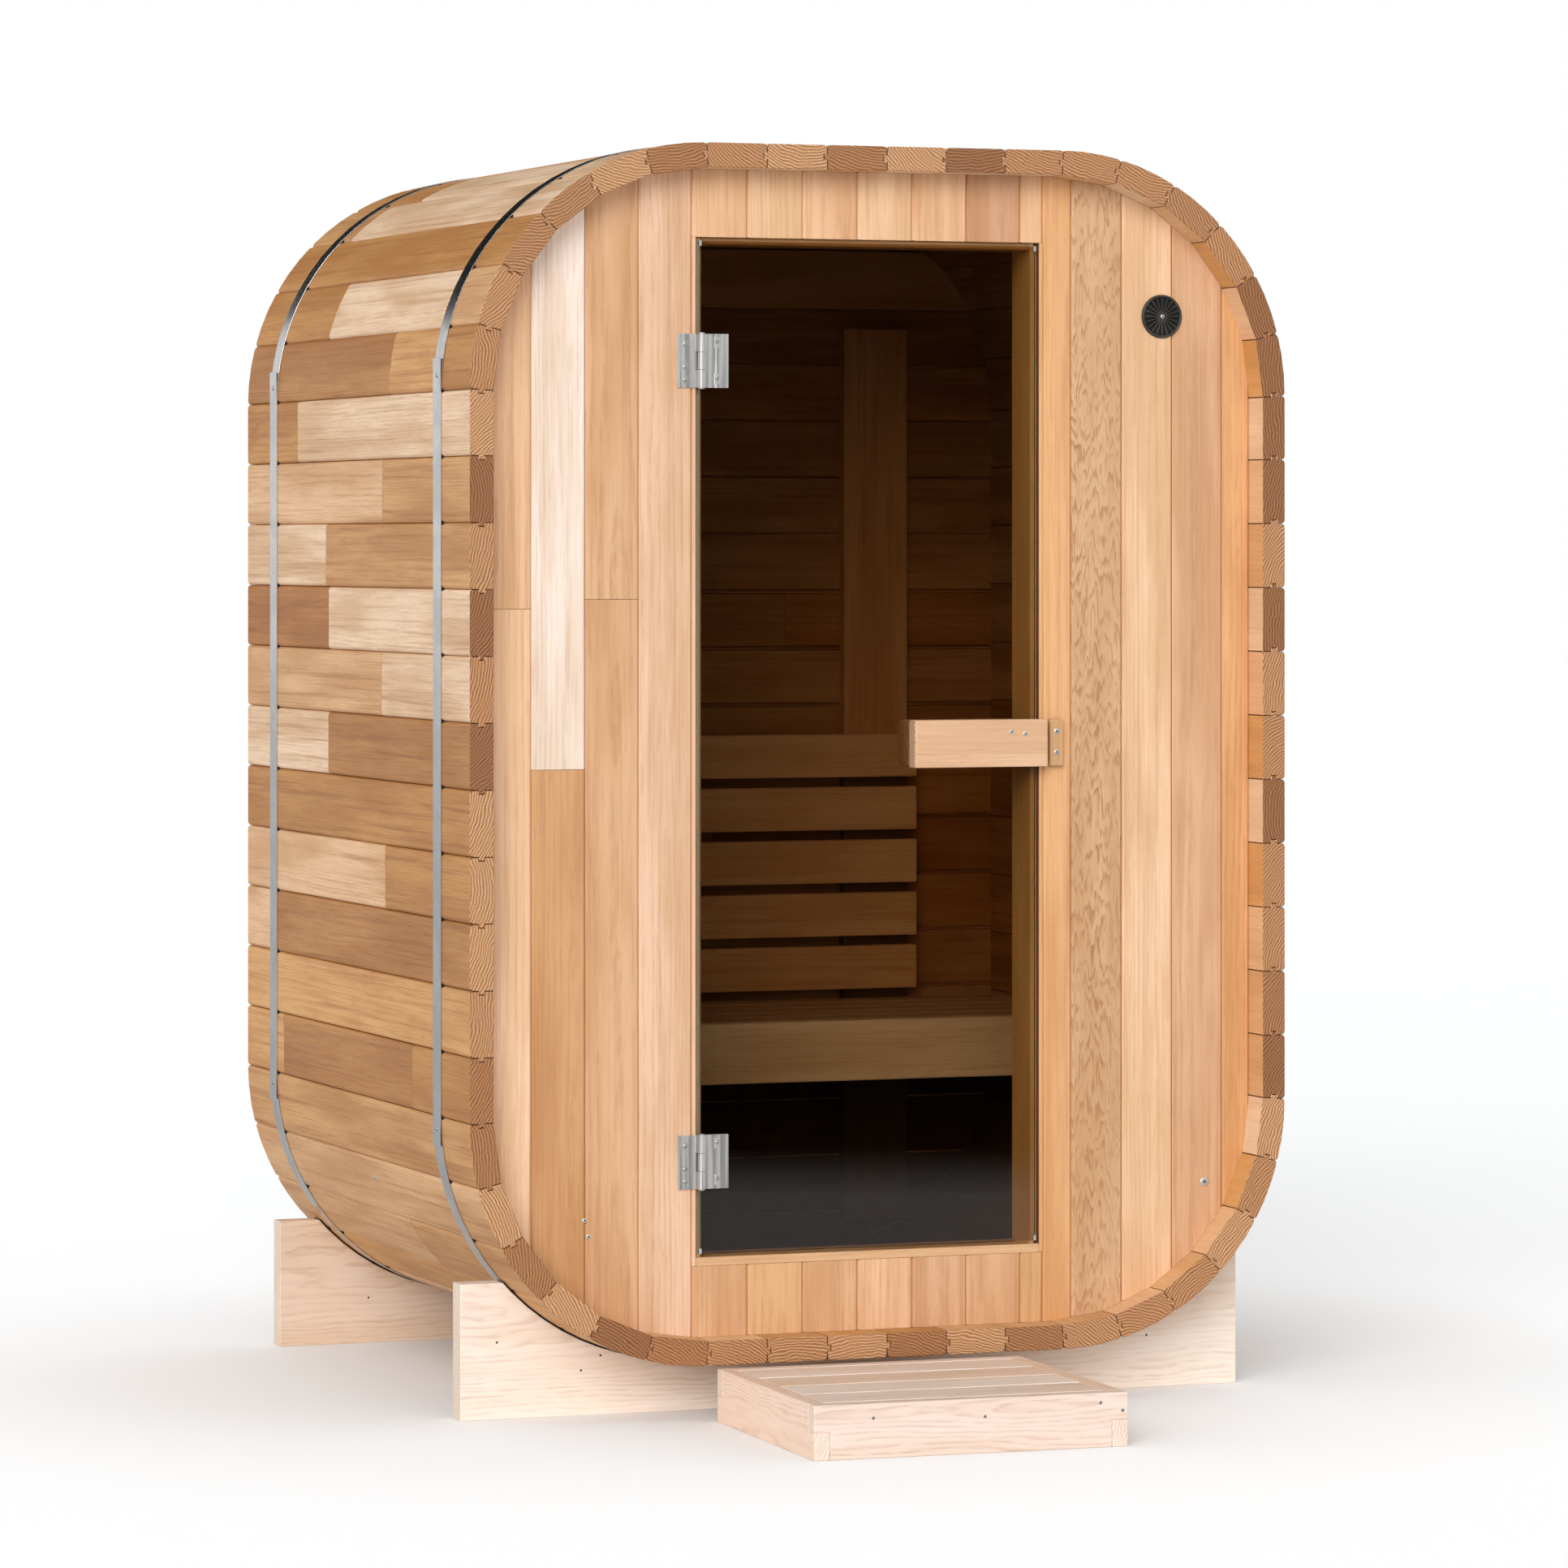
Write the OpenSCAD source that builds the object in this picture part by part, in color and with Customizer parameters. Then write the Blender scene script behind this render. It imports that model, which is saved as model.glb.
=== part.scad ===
/* [Shell] */
// Overall width of the shell
shell_w = 1500; // [1400:10:1600]
// Overall height of the shell
shell_h = 2075; // [1950:5:2200]
// Length of the staves, front to back
shell_d = 1350; // [1250:10:1600]
// Thickness of the staves and of their corner pieces
stave_t = 42; // [38:1:46]
// Width of one stave on the outside
stave_w = 110; // [104:1:114]
// Depth of the V-groove between two staves
stave_bevel = 4; // [2:0.5:5]
// Height of the shell's underside over the ground
ground_gap = 93; // [80:1:110]

/* [Tongues and grooves] */
// Thickness of a tongue
tongue_t = 10; // [8:1:12]
// Length of a tongue
tongue_r = 6; // [4:0.5:8]
// Clearance all round a tongue
fit = 0.3; // [0.2:0.05:0.5]
// Gap left between two neighbouring boards
joint_gap = 0.4; // [0.2:0.1:0.8]

/* [Hoops] */
// Width of a hoop
hoop_w = 44; // [36:1:50]
// Thickness of a hoop
hoop_t = 1.5; // [1:0.1:2]
// Distance of a hoop from the end of the staves
hoop_in = 155; // [148:1:165]
// Clearance between a hoop and the staves
hoop_fit = 0.2; // [0.1:0.05:0.4]

/* [Cradles] */
// Thickness of a cradle board
cradle_t = 42; // [38:1:46]
// Height of a cradle's ends
cradle_h = 232; // [200:1:260]
// Distance of a cradle's ends from the side of the shell
cradle_in = 29; // [20:1:40]
// Distance of the front cradle from the front of the shell
front_cradle_in = 143; // [138:1:146]
// Distance of the back cradle from the back of the shell
back_cradle_in = 73; // [60:1:85]
// Thickness of the rubber strip on a cradle
strip_t = 3; // [2.5:0.5:4]

/* [End walls] */
// Depth of the end walls behind the ends of the staves
wall_in = 58; // [50:1:66]
// Thickness of the end walls
wall_t = 42; // [38:1:46]
// Width of the front wall's boards
board_w = 96; // [90:1:102]
// Width of the boards over and under the door
door_board_w = 101; // [95:1:106]
// Width of the narrow board on the closing side of the door
narrow_board_w = 54; // [46:1:62]
// Depth of the V-groove between two wall boards
board_bevel = 3.5; // [2:0.5:4.5]
// Width of the back wall's boards
back_board_w = 108; // [102:1:114]
// Width of the lowest board of the back wall
back_board_first = 73; // [60:1:90]

/* [Doorway] */
// Middle of the door, to the right of the middle of the shell
door_x = -10; // [-30:1:10]
// Width of the door frame
frame_w = 648; // [620:1:680]
// Thickness of a jamb
jamb_t = 20; // [18:0.5:22]
// Part of a jamb that shows beside the glass
jamb_lip = 7; // [6:0.5:9]
// Depth of a jamb, front to back
jamb_d = 95; // [85:1:105]
// Thickness of the head
head_t = 12; // [11:0.5:14]
// Thickness of the sill
sill_t = 15; // [12:0.5:18]
// Height of the doorway's foot over the floor inside
doorway_up = 121; // [110:1:135]
// Height of the boards over the doorway
over_door_h = 116; // [90:1:150]

/* [Glass door] */
// Thickness of the glass
glass_t = 8; // [8:1:10]
// Gap round the glass
door_gap = 5.5; // [5.5:0.5:6.5]
// Middle of the lower hinge over the doorway's foot
lower_hinge_up = 178; // [150:1:220]
// Middle of the upper hinge under the doorway's top
upper_hinge_down = 211; // [170:1:260]
// Height of a hinge
hinge_h = 92; // [80:1:100]
// Width of a hinge leaf on the wall
wall_leaf_w = 33; // [26:1:36]
// Width of a hinge leaf on the glass
glass_leaf_w = 43; // [36:1:50]
// Length of the handle outside
handle_w = 250; // [230:1:270]
// Height of both handles and of the catch
handle_h = 82; // [70:1:95]
// Thickness of the handle outside
handle_t = 28; // [24:1:30]
// Length of the handle inside
inner_handle_w = 216; // [190:1:220]
// Thickness of the handle inside
inner_handle_t = 45; // [36:1:48]
// Middle of the handles over the doorway's foot
handle_up = 886; // [840:1:940]
// Width of the catch beside the doorway
catch_w = 26; // [20:1:30]
// Thickness of the catch
catch_t = 12; // [8:1:16]

/* [Vent] */
// Diameter of the vent's flange
vent_d = 76; // [70:1:84]
// Diameter of the vent's hole
vent_bore = 60; // [52:1:62]
// Middle of the vent, to the right of the middle of the shell
vent_x = 539; // [500:1:550]
// Middle of the vent under the ceiling
vent_drop = 241; // [220:1:300]

/* [Bench] */
// Height of the seat over the floor
bench_h = 484; // [440:1:520]
// Depth of the bench, with its fascia
bench_d = 570; // [500:5:620]
// Number of slats in the seat
bench_slats_n = 5; // [4:1:6]
// Gap between two slats of the seat
bench_gap = 10; // [8:1:14]
// Thickness of the slats and of the fascia
slat_t = 28; // [24:1:32]
// Height of the fascia
fascia_h = 110; // [95:1:125]
// Width of a bearer
bearer_w = 45; // [38:1:60]

/* [Backrest] */
// Width of an upright
upright_w = 130; // [110:1:145]
// Distance of the uprights from the middle
upright_x = 459; // [430:1:480]
// Thickness of the uprights and of the header
upright_t = 26; // [20:1:30]
// Height of the uprights' feet over the floor
upright_up = 60; // [50:1:80]
// Gap between the uprights and the header
header_gap = 38; // [25:1:50]
// Height of the header
header_h = 110; // [95:1:120]
// Distance of the header's top from the ceiling
header_drop = 80; // [70:1:95]
// Number of backrest slats
rest_n = 5; // [3:1:6]
// Height of a backrest slat
rest_h = 82; // [70:1:90]
// Gap between two backrest slats
rest_gap = 19; // [12:1:24]
// Length of the slats past the uprights
rest_over = 9; // [0:1:20]

/* [Step] */
// Width of the step
step_w = 548; // [500:1:600]
// Depth of the step, front to back
step_d = 501; // [460:1:540]
// Height of the step
step_h = 90; // [80:1:100]
// Thickness of the step's boards
step_board = 28; // [24:1:30]
// Number of slats on the step
step_slats_n = 4; // [3:1:5]
// Gap between two slats of the step
step_slat_gap = 8; // [5:1:12]
// Width and height of a bearer under the step's slats
step_bearer = 40; // [30:1:50]
// Place of the step's inner left corner, from the middle of the shell
step_x = -315; // [-330:1:-300]
// Distance of that corner from the front of the shell
step_gap = 14; // [8:1:20]
// Turn of the step on the ground, in degrees
step_turn = -1.8; // [-3:0.1:-0.5]

/* [Hidden] */
$fn = 48;

// A corner of the shell turns through a right angle in equal steps, one stave to each.
// The outer face of such a stave is rounded, in arc_n flats.
corner_n = 6;
arc_n = 3;
turn = 90 / corner_n;
corner_r = stave_w / (2 * sin(turn / 2));
roof_n = round((shell_w - 2 * corner_r) / stave_w);
side_n = round((shell_h - 2 * corner_r) / stave_w);

// The origin lies on the ground, in the middle of shell and step together
step_reach = step_gap + step_d * cos(step_turn) + step_w * sin(abs(step_turn));
front_y = (step_reach - shell_d) / 2;
back_y = front_y + shell_d;
floor_z = ground_gap + stave_t;
ceiling_z = ground_gap + shell_h - stave_t;
inner_x = shell_w / 2 - stave_t;

// Front wall and doorway
wall_y = front_y + wall_in;
frame_left = door_x - frame_w / 2;
frame_right = door_x + frame_w / 2;
doorway_z = floor_z + doorway_up;
doorway_top = ceiling_z - over_door_h;
doorway_h = doorway_top - doorway_z;
stop_gap = 5;
stop_y = wall_y + glass_t + stop_gap;
glass_left = frame_left + jamb_lip + door_gap;
glass_right = frame_right - jamb_lip - door_gap;
glass_back = wall_y + glass_t;

// Hinges: the barrel stands in front of the edge of the glass
barrel_r = 6.5;
pin_r = 3;
pin_fit = 0.1;
leaf_t = 3;
pin_off = 8;
pin_in = 7;
hinge_x = frame_left + jamb_lip + pin_in;
hinge_y = wall_y - pin_off;
upper_hinge_z = doorway_top - upper_hinge_down;
lower_hinge_z = doorway_z + lower_hinge_up;
knuckle_gap = 0.5;

// Handles and catch
handle_z = doorway_z + handle_up;
handle_over = 12;
handle_notch = 6;
catch_gap = 8;
catch_x = frame_right + catch_gap;

// Back wall, with its boards' inner face at back_in
back_in = back_y - wall_in - wall_t;
bench_z = floor_z + bench_h;
bench_front = back_in - bench_d;
rest_y = back_in - upright_t - slat_t;
header_z = ceiling_z - header_drop - header_h;
rest_up = 19;

// Centre of corner q and number of flats that follow it, going round against the clock:
// 0 top right, 1 top left, 2 bottom left, 3 bottom right
function centre(q) = [(q == 0 || q == 3 ? 1 : -1) * (shell_w / 2 - corner_r),
                      ground_gap + (q < 2 ? shell_h - corner_r : corner_r)];
function flat_n(q) = q % 2 == 0 ? roof_n : side_n;

// Direction in which joint i after the start of corner q is cut, and half the turn there
function bis(q, i) = i == 0 ? 90 * q + turn / 4
                   : i < corner_n ? 90 * q + i * turn
                   : i == corner_n ? 90 * q + 90 - turn / 4
                   : i < corner_n + flat_n(q) ? 90 * q + 90 : bis(q + 1, 0);
function half(q, i) = i == 0 || i == corner_n || i == corner_n + flat_n(q) ? turn / 4
                    : i < corner_n ? turn / 2 : 0;

// Outer point of a joint, and a point d inwards of it and e past it
function arc_pt(q, i, off = 0) =
  centre(q % 4) + (corner_r + off) * [cos(90 * q + i * turn), sin(90 * q + i * turn)];
function joint(q, i) = i <= corner_n ? arc_pt(q, i)
  : arc_pt(q, corner_n) + (arc_pt(q + 1, 0) - arc_pt(q, corner_n)) * (i - corner_n) / flat_n(q);
function at(q, i, d, e) = joint(q, i) - d * [cos(bis(q, i)), sin(bis(q, i))]
                        + e * [-sin(bis(q, i)), cos(bis(q, i))];

// The shell's round outline, grown by off, and its inside, with one flat to a stave
function outline(off) = off < 0
  ? [for (q = [0:3]) for (i = [0:corner_n]) at(q, i, -off / cos(half(q, i)), 0)]
  : [for (q = [0:3]) for (k = [0:corner_n * arc_n]) arc_pt(q, k / arc_n, off)];

// Outer face of one stave: round at a corner, flat elsewhere
function face_pts(q, i) = i < corner_n ? [for (k = [0:arc_n]) arc_pt(q, i + k / arc_n)]
                                       : [joint(q, i), joint(q, i + 1)];

// Section of one stave, with its groove on the near side and its tongue on the far side
function stave_pts(q, i) =
  let (f = face_pts(q, i), n = len(f) - 1, g = joint_gap / 2, c = fit,
       u = (f[1] - f[0]) / norm(f[1] - f[0]), v = (f[n] - f[n - 1]) / norm(f[n] - f[n - 1]),
       t0 = (stave_t - tongue_t) / 2, t1 = (stave_t + tongue_t) / 2)
  concat([f[0] + u * stave_bevel, at(q, i, stave_bevel, g),
   at(q, i, t0 - c, g), at(q, i, t0 - c, tongue_r + g + c),
   at(q, i, t1 + c, tongue_r + g + c), at(q, i, t1 + c, g),
   at(q, i, stave_t / cos(half(q, i)), g), at(q, i + 1, stave_t / cos(half(q, i + 1)), -g),
   at(q, i + 1, t1, -g), at(q, i + 1, t1, tongue_r),
   at(q, i + 1, t0, tongue_r), at(q, i + 1, t0, -g),
   at(q, i + 1, stave_bevel, -g), f[n] - v * stave_bevel],
   [for (k = [n - 1:-1:1]) f[k]]);

// Section of one wall board from x0 to x1, with its V-grooves on the face at y = 0
function board_pts(x0, x1, t, groove, tongue) =
  let (g = joint_gap / 2, m0 = (t - tongue_t) / 2, m1 = (t + tongue_t) / 2, c = fit)
  concat([[x0 + g + board_bevel, 0], [x0 + g, board_bevel]],
         groove ? [[x0 + g, m0 - c], [x0 + g + tongue_r + c, m0 - c],
                   [x0 + g + tongue_r + c, m1 + c], [x0 + g, m1 + c]] : [],
         [[x0 + g, t], [x1 - g, t]],
         tongue ? [[x1 - g, m1], [x1 + tongue_r, m1], [x1 + tongue_r, m0], [x1 - g, m0]] : [],
         [[x1 - g, board_bevel], [x1 - g - board_bevel, 0]]);

// Boards of width w that fill a run: the last one takes what is left over
function boards_in(run, w) = ceil(run / w - 0.2);
left_run = frame_left + inner_x;
left_edges = concat([-inner_x],
  [for (i = [boards_in(left_run, board_w) - 1:-1:0]) frame_left - i * board_w]);
right_start = frame_right + narrow_board_w;
right_edges = concat([frame_right],
  [for (i = [0:boards_in(inner_x - right_start, board_w) - 1]) right_start + i * board_w], [inner_x]);
door_edges = concat([for (i = [0:boards_in(frame_w, door_board_w) - 1]) frame_left + i * door_board_w],
  [frame_right]);
back_start = floor_z + back_board_first;
back_edges = concat([floor_z],
  [for (i = [0:boards_in(ceiling_z - back_start, back_board_w) - 1]) back_start + i * back_board_w],
  [ceiling_z]);

stave_colour = "#c8976a";
wall_colour = "#d9b183";
frame_colour = "#ddb98c";
spruce_colour = "#f0dcb8";
steel_colour = "#a8adb0";

module stave(q, i)
  translate([0, back_y, 0]) rotate([90, 0, 0]) linear_extrude(shell_d) polygon(stave_pts(q, i));
module corner_staves(q) color(stave_colour) for (i = [0:corner_n - 1]) stave(q, i);
module flat_staves(q) color(stave_colour) for (i = [0:flat_n(q) - 1]) stave(q, corner_n + i);
module ring_prism(y, d, off)
  translate([0, y + d, 0]) rotate([90, 0, 0]) linear_extrude(d) polygon(outline(off));
module inside_shell(y, d) intersection() {
  children();
  ring_prism(y, d, -stave_t);
}

module hoop(y) color(steel_colour) difference() {
  ring_prism(y, hoop_w, hoop_fit + hoop_t);
  ring_prism(y - 1, hoop_w + 2, hoop_fit);
}
module front_hoop() hoop(front_y + hoop_in);
module back_hoop() hoop(back_y - hoop_in - hoop_w);

module cradle_block(y, up) translate([cradle_in - shell_w / 2, y, 0])
  cube([shell_w - 2 * cradle_in, cradle_t, up]);
module cradle(y) color(spruce_colour) difference() {
  cradle_block(y, cradle_h);
  ring_prism(y - 1, cradle_t + 2, strip_t);
}
module cradle_strip(y, hoop_y) color("#2b2b2b") difference() {
  intersection() {
    cradle_block(y, cradle_h);
    ring_prism(y, cradle_t, strip_t);
  }
  ring_prism(y - 1, cradle_t + 2, 0);
  ring_prism(hoop_y - 1, hoop_w + 2, strip_t + 1);
}
module front_cradle() cradle(front_y + front_cradle_in);
module back_cradle() cradle(back_y - back_cradle_in - cradle_t);
module front_cradle_strip() cradle_strip(front_y + front_cradle_in, front_y + hoop_in);
module back_cradle_strip() cradle_strip(back_y - back_cradle_in - cradle_t, back_y - hoop_in - hoop_w);

module boards(edges, t, run) for (i = [0:len(edges) - 2]) linear_extrude(run)
  polygon(board_pts(edges[i], edges[i + 1], t, i > 0, i < len(edges) - 2));
module front_boards(edges, z0, z1) color(wall_colour) inside_shell(wall_y - 1, wall_t + 2)
  translate([0, wall_y, z0]) boards(edges, wall_t, z1 - z0);
module front_wall_left() front_boards(left_edges, floor_z - 1, ceiling_z + 1);
module front_wall_right() difference() {
  front_boards(right_edges, floor_z - 1, ceiling_z + 1);
  translate([vent_x, wall_y - 1, ceiling_z - vent_drop]) rotate([-90, 0, 0])
    cylinder(d = vent_bore, h = wall_t + 2);
}
module front_wall_over_door() front_boards(door_edges, doorway_top, ceiling_z + 1);
module front_wall_under_door() front_boards(door_edges, floor_z - 1, doorway_z);

module jamb() color(frame_colour) translate([0, 0, doorway_z]) linear_extrude(doorway_h)
  polygon([[0, wall_y], [jamb_lip, wall_y], [jamb_lip, stop_y], [jamb_t, stop_y],
           [jamb_t, wall_y + jamb_d], [0, wall_y + jamb_d]]);
module door_jamb_left() translate([frame_left, 0, 0]) jamb();
module door_jamb_right() translate([frame_right, 0, 0]) mirror([1, 0, 0]) jamb();
module door_head() color(frame_colour)
  translate([frame_left + jamb_t, stop_y, doorway_top - head_t])
    cube([frame_w - 2 * jamb_t, wall_y + jamb_d - stop_y, head_t]);
module door_sill() color(frame_colour) difference() {
  translate([frame_left + jamb_lip, wall_y, doorway_z])
    cube([frame_w - 2 * jamb_lip, jamb_d, sill_t]);
  for (s = [0, 1]) translate([s == 0 ? frame_left : frame_right - jamb_t, stop_y, doorway_z - 1])
    cube([jamb_t, jamb_d, sill_t + 2]);
}

module door_glass() color("#4a4038", 0.5)
  translate([glass_left, wall_y, doorway_z + sill_t + door_gap])
    cube([glass_right - glass_left, glass_t, doorway_h - sill_t - 2 * door_gap]);

// Bar across the glass: it reaches past the edge, where its back is cut away
module door_handle_outside() color("#e2bc8c")
  translate([glass_right + handle_over, wall_y - handle_t, handle_z - handle_h / 2])
    linear_extrude(handle_h) polygon([
      [3 - handle_w, 0], [-3, 0], [0, 3], [0, handle_t - handle_notch],
      [-handle_over, handle_t - handle_notch], [-handle_over, handle_t],
      [-handle_w, handle_t], [-handle_w, 3]]);

module rounded(w, h, r) union() {
  translate([r, 0]) square([w - 2 * r, h]);
  translate([0, r]) square([w, h - 2 * r]);
  for (x = [r, w - r]) for (y = [r, h - r]) translate([x, y]) circle(r);
}
module door_handle_inside() color("#e2bc8c")
  translate([glass_right + handle_over - handle_w, glass_back + inner_handle_t, handle_z - handle_h / 2])
    rotate([90, 0, 0]) linear_extrude(inner_handle_t) rounded(inner_handle_w, handle_h, 10);

// One leaf in its own frame: barrel at the origin, plate towards +x, from x0 on
module leaf_shape(x0, w, thirds) difference() {
  union() {
    translate([x0, pin_off - leaf_t, 0]) cube([w, leaf_t, hinge_h]);
    for (k = thirds) translate([0, 0, k * hinge_h / 3 + (k > 0 ? knuckle_gap / 2 : 0)])
      linear_extrude(hinge_h / 3 - knuckle_gap / (k == 1 ? 1 : 2)) {
        circle(barrel_r);
        polygon([[0, 0], [2, 6], [4, pin_off], [x0 + 1, pin_off], [x0 + 1, pin_off - leaf_t], [6, 0]]);
      }
  }
  translate([0, 0, -1]) cylinder(r = pin_r + pin_fit, h = hinge_h + 2);
}
module wall_leaf(z) color(steel_colour) translate([hinge_x, hinge_y, z - hinge_h / 2])
  mirror([1, 0, 0]) leaf_shape(8.5, wall_leaf_w, [0, 2]);
module glass_leaf(z) color(steel_colour) translate([hinge_x, hinge_y, z - hinge_h / 2]) {
  leaf_shape(8, glass_leaf_w, [1]);
  translate([8 + glass_leaf_w / 2 - 2, pin_off - leaf_t - 1.5, 0]) cube([4, 1.5, hinge_h]);
  translate([16, pin_off + glass_t, 0]) cube([glass_leaf_w - 8, leaf_t, hinge_h]);
}
module hinge_pin(z) color(steel_colour) translate([hinge_x, hinge_y, z - hinge_h / 2 - 2]) {
  cylinder(r = pin_r, h = hinge_h + 4);
  cylinder(r = barrel_r - 1, h = 2);
  translate([0, 0, hinge_h + 2]) cylinder(r = barrel_r - 1, h = 2);
}
module upper_hinge_wall_leaf() wall_leaf(upper_hinge_z);
module lower_hinge_wall_leaf() wall_leaf(lower_hinge_z);
module upper_hinge_glass_leaf() glass_leaf(upper_hinge_z);
module lower_hinge_glass_leaf() glass_leaf(lower_hinge_z);
module upper_hinge_pin() hinge_pin(upper_hinge_z);
module lower_hinge_pin() hinge_pin(lower_hinge_z);

module catch_block() color("#c79a68")
  translate([catch_x, wall_y, handle_z - handle_h / 2]) rotate([90, 0, 0])
    linear_extrude(catch_t) rounded(catch_w, handle_h, 4);

// Flange on the wall, sleeve through it, and a grille of radial fins
module vent_cover() color("#1a1a1a")
  translate([vent_x, wall_y, ceiling_z - vent_drop]) rotate([-90, 0, 0]) {
    difference() {
      union() {
        translate([0, 0, -5]) cylinder(d = vent_d, h = 5);
        translate([0, 0, -5]) cylinder(d = vent_bore - 2 * fit, h = wall_t + 5);
      }
      translate([0, 0, -6]) cylinder(d = vent_bore - 6, h = wall_t + 8);
    }
    translate([0, 0, -5]) cylinder(r = 11, h = 5);
    for (i = [0:23]) rotate([0, 0, 15 * i]) translate([10, -0.9, -5]) cube([vent_bore / 2 - 12, 1.8, 4]);
  }

module back_wall_boards() color(wall_colour) inside_shell(back_in - 1, wall_t + 2)
  translate([shell_w / 2, back_in, 0]) rotate([0, -90, 0]) boards(back_edges, wall_t, shell_w);
module back_wall_uprights() color(spruce_colour) inside_shell(back_in - upright_t, upright_t)
  for (s = [-1, 1]) translate([s * upright_x - upright_w / 2, back_in - upright_t, floor_z + upright_up])
    cube([upright_w, upright_t, header_z - header_gap - floor_z - upright_up]);
module back_wall_header() color(spruce_colour) inside_shell(back_in - upright_t, upright_t)
  translate([-inner_x, back_in - upright_t, header_z]) cube([2 * inner_x, upright_t, header_h]);
module backrest_slats() color(spruce_colour) for (i = [0:rest_n - 1])
  translate([-upright_x - upright_w / 2 - rest_over, rest_y, bench_z + rest_up + i * (rest_h + rest_gap)])
    cube([2 * upright_x + upright_w + 2 * rest_over, slat_t, rest_h]);

bench_run = bench_d - slat_t - upright_t;
bench_slat_w = (bench_run - bench_slats_n * bench_gap) / bench_slats_n;
bearer_h = fascia_h - slat_t;
module bench_slats() color(spruce_colour) for (i = [0:bench_slats_n - 1])
  translate([2 - inner_x, bench_front + slat_t + bench_gap + i * (bench_slat_w + bench_gap), bench_z - slat_t])
    cube([2 * inner_x - 4, bench_slat_w, slat_t]);
module bench_fascia() color(spruce_colour) inside_shell(bench_front, slat_t)
  translate([-inner_x, bench_front, bench_z - fascia_h]) cube([2 * inner_x, slat_t, fascia_h]);
module bench_bearers() color(spruce_colour) inside_shell(bench_front, bench_d)
  for (x = [-inner_x, -bearer_w / 2, inner_x - bearer_w])
    translate([x, bench_front + slat_t, bench_z - fascia_h]) cube([bearer_w, bench_d - slat_t, bearer_h]);

// The step lies on the ground in front of the door, a little askew
module on_step() color(spruce_colour)
  translate([step_x, front_y - step_gap, 0]) rotate([0, 0, step_turn]) translate([0, -step_d, 0])
    children();
// Boards of the frame are notched into each other: cross boards run through on top
module cross_board() difference() {
  cube([step_w, step_board, step_h]);
  for (x = [-1, step_w - step_board]) translate([x, -1, -1])
    cube([step_board + 1, step_board + 2, step_h / 2 + 1]);
}
module step_front_board() on_step() cross_board();
module step_back_board() on_step() translate([0, step_d - step_board, 0]) cross_board();
module step_side_boards() on_step() for (x = [0, step_w - step_board]) translate([x, 0, 0]) {
  cube([step_board, step_d, step_h / 2]);
  translate([0, step_board, 0]) cube([step_board, step_d - 2 * step_board, step_h]);
}
step_run = step_d - 2 * step_board;
step_slat_w = (step_run - (step_slats_n + 1) * step_slat_gap) / step_slats_n;
module step_slats() on_step() for (i = [0:step_slats_n - 1])
  translate([step_board, step_board + step_slat_gap + i * (step_slat_w + step_slat_gap),
             step_h - step_board]) cube([step_w - 2 * step_board, step_slat_w, step_board]);
module step_bearers() on_step() for (x = [step_w / 5, step_w * 4 / 5])
  translate([x - step_bearer / 2, step_board, step_h - step_board - step_bearer])
    cube([step_bearer, step_run, step_bearer]);

flat_staves(0);  // roof_staves
flat_staves(2);  // floor_staves
flat_staves(1);  // left_wall_staves
flat_staves(3);  // right_wall_staves
corner_staves(1);  // top_left_corner_staves
corner_staves(0);  // top_right_corner_staves
corner_staves(2);  // bottom_left_corner_staves
corner_staves(3);  // bottom_right_corner_staves
front_hoop();
back_hoop();
front_cradle();
back_cradle();
front_cradle_strip();
back_cradle_strip();
front_wall_left();
front_wall_right();
front_wall_over_door();
front_wall_under_door();
door_jamb_left();
door_jamb_right();
door_head();
door_sill();
door_glass();
door_handle_outside();
door_handle_inside();
upper_hinge_wall_leaf();
lower_hinge_wall_leaf();
upper_hinge_glass_leaf();
lower_hinge_glass_leaf();
upper_hinge_pin();
lower_hinge_pin();
catch_block();
vent_cover();
back_wall_boards();
back_wall_uprights();
back_wall_header();
bench_slats();
bench_fascia();
bench_bearers();
backrest_slats();
step_front_board();
step_back_board();
step_side_boards();
step_slats();
step_bearers();
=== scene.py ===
"""Looks of the cube sauna: timber with grain and joints, steel, bronze glass, a pale studio."""
import math
import random
from math import radians

import bmesh
import bpy
import numpy as np
from mathutils import Matrix, Vector


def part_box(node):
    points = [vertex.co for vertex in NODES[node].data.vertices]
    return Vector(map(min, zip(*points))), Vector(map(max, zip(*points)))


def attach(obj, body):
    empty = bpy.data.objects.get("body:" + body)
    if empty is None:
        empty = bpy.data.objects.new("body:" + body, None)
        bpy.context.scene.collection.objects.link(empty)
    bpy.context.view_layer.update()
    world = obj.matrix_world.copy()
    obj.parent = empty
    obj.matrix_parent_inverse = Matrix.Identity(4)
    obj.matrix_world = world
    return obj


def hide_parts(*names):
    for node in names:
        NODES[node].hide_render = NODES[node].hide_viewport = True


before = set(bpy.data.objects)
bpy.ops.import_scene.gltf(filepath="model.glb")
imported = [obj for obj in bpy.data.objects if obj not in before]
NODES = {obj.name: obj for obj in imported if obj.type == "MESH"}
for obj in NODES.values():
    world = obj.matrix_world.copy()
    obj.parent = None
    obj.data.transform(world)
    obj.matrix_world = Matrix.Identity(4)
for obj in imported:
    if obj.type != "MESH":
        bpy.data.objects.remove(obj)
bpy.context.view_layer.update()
MM = 0.001
X, Y, Z = Vector((1, 0, 0)), Vector((0, 1, 0)), Vector((0, 0, 1))
chance = random.Random(7)

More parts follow.
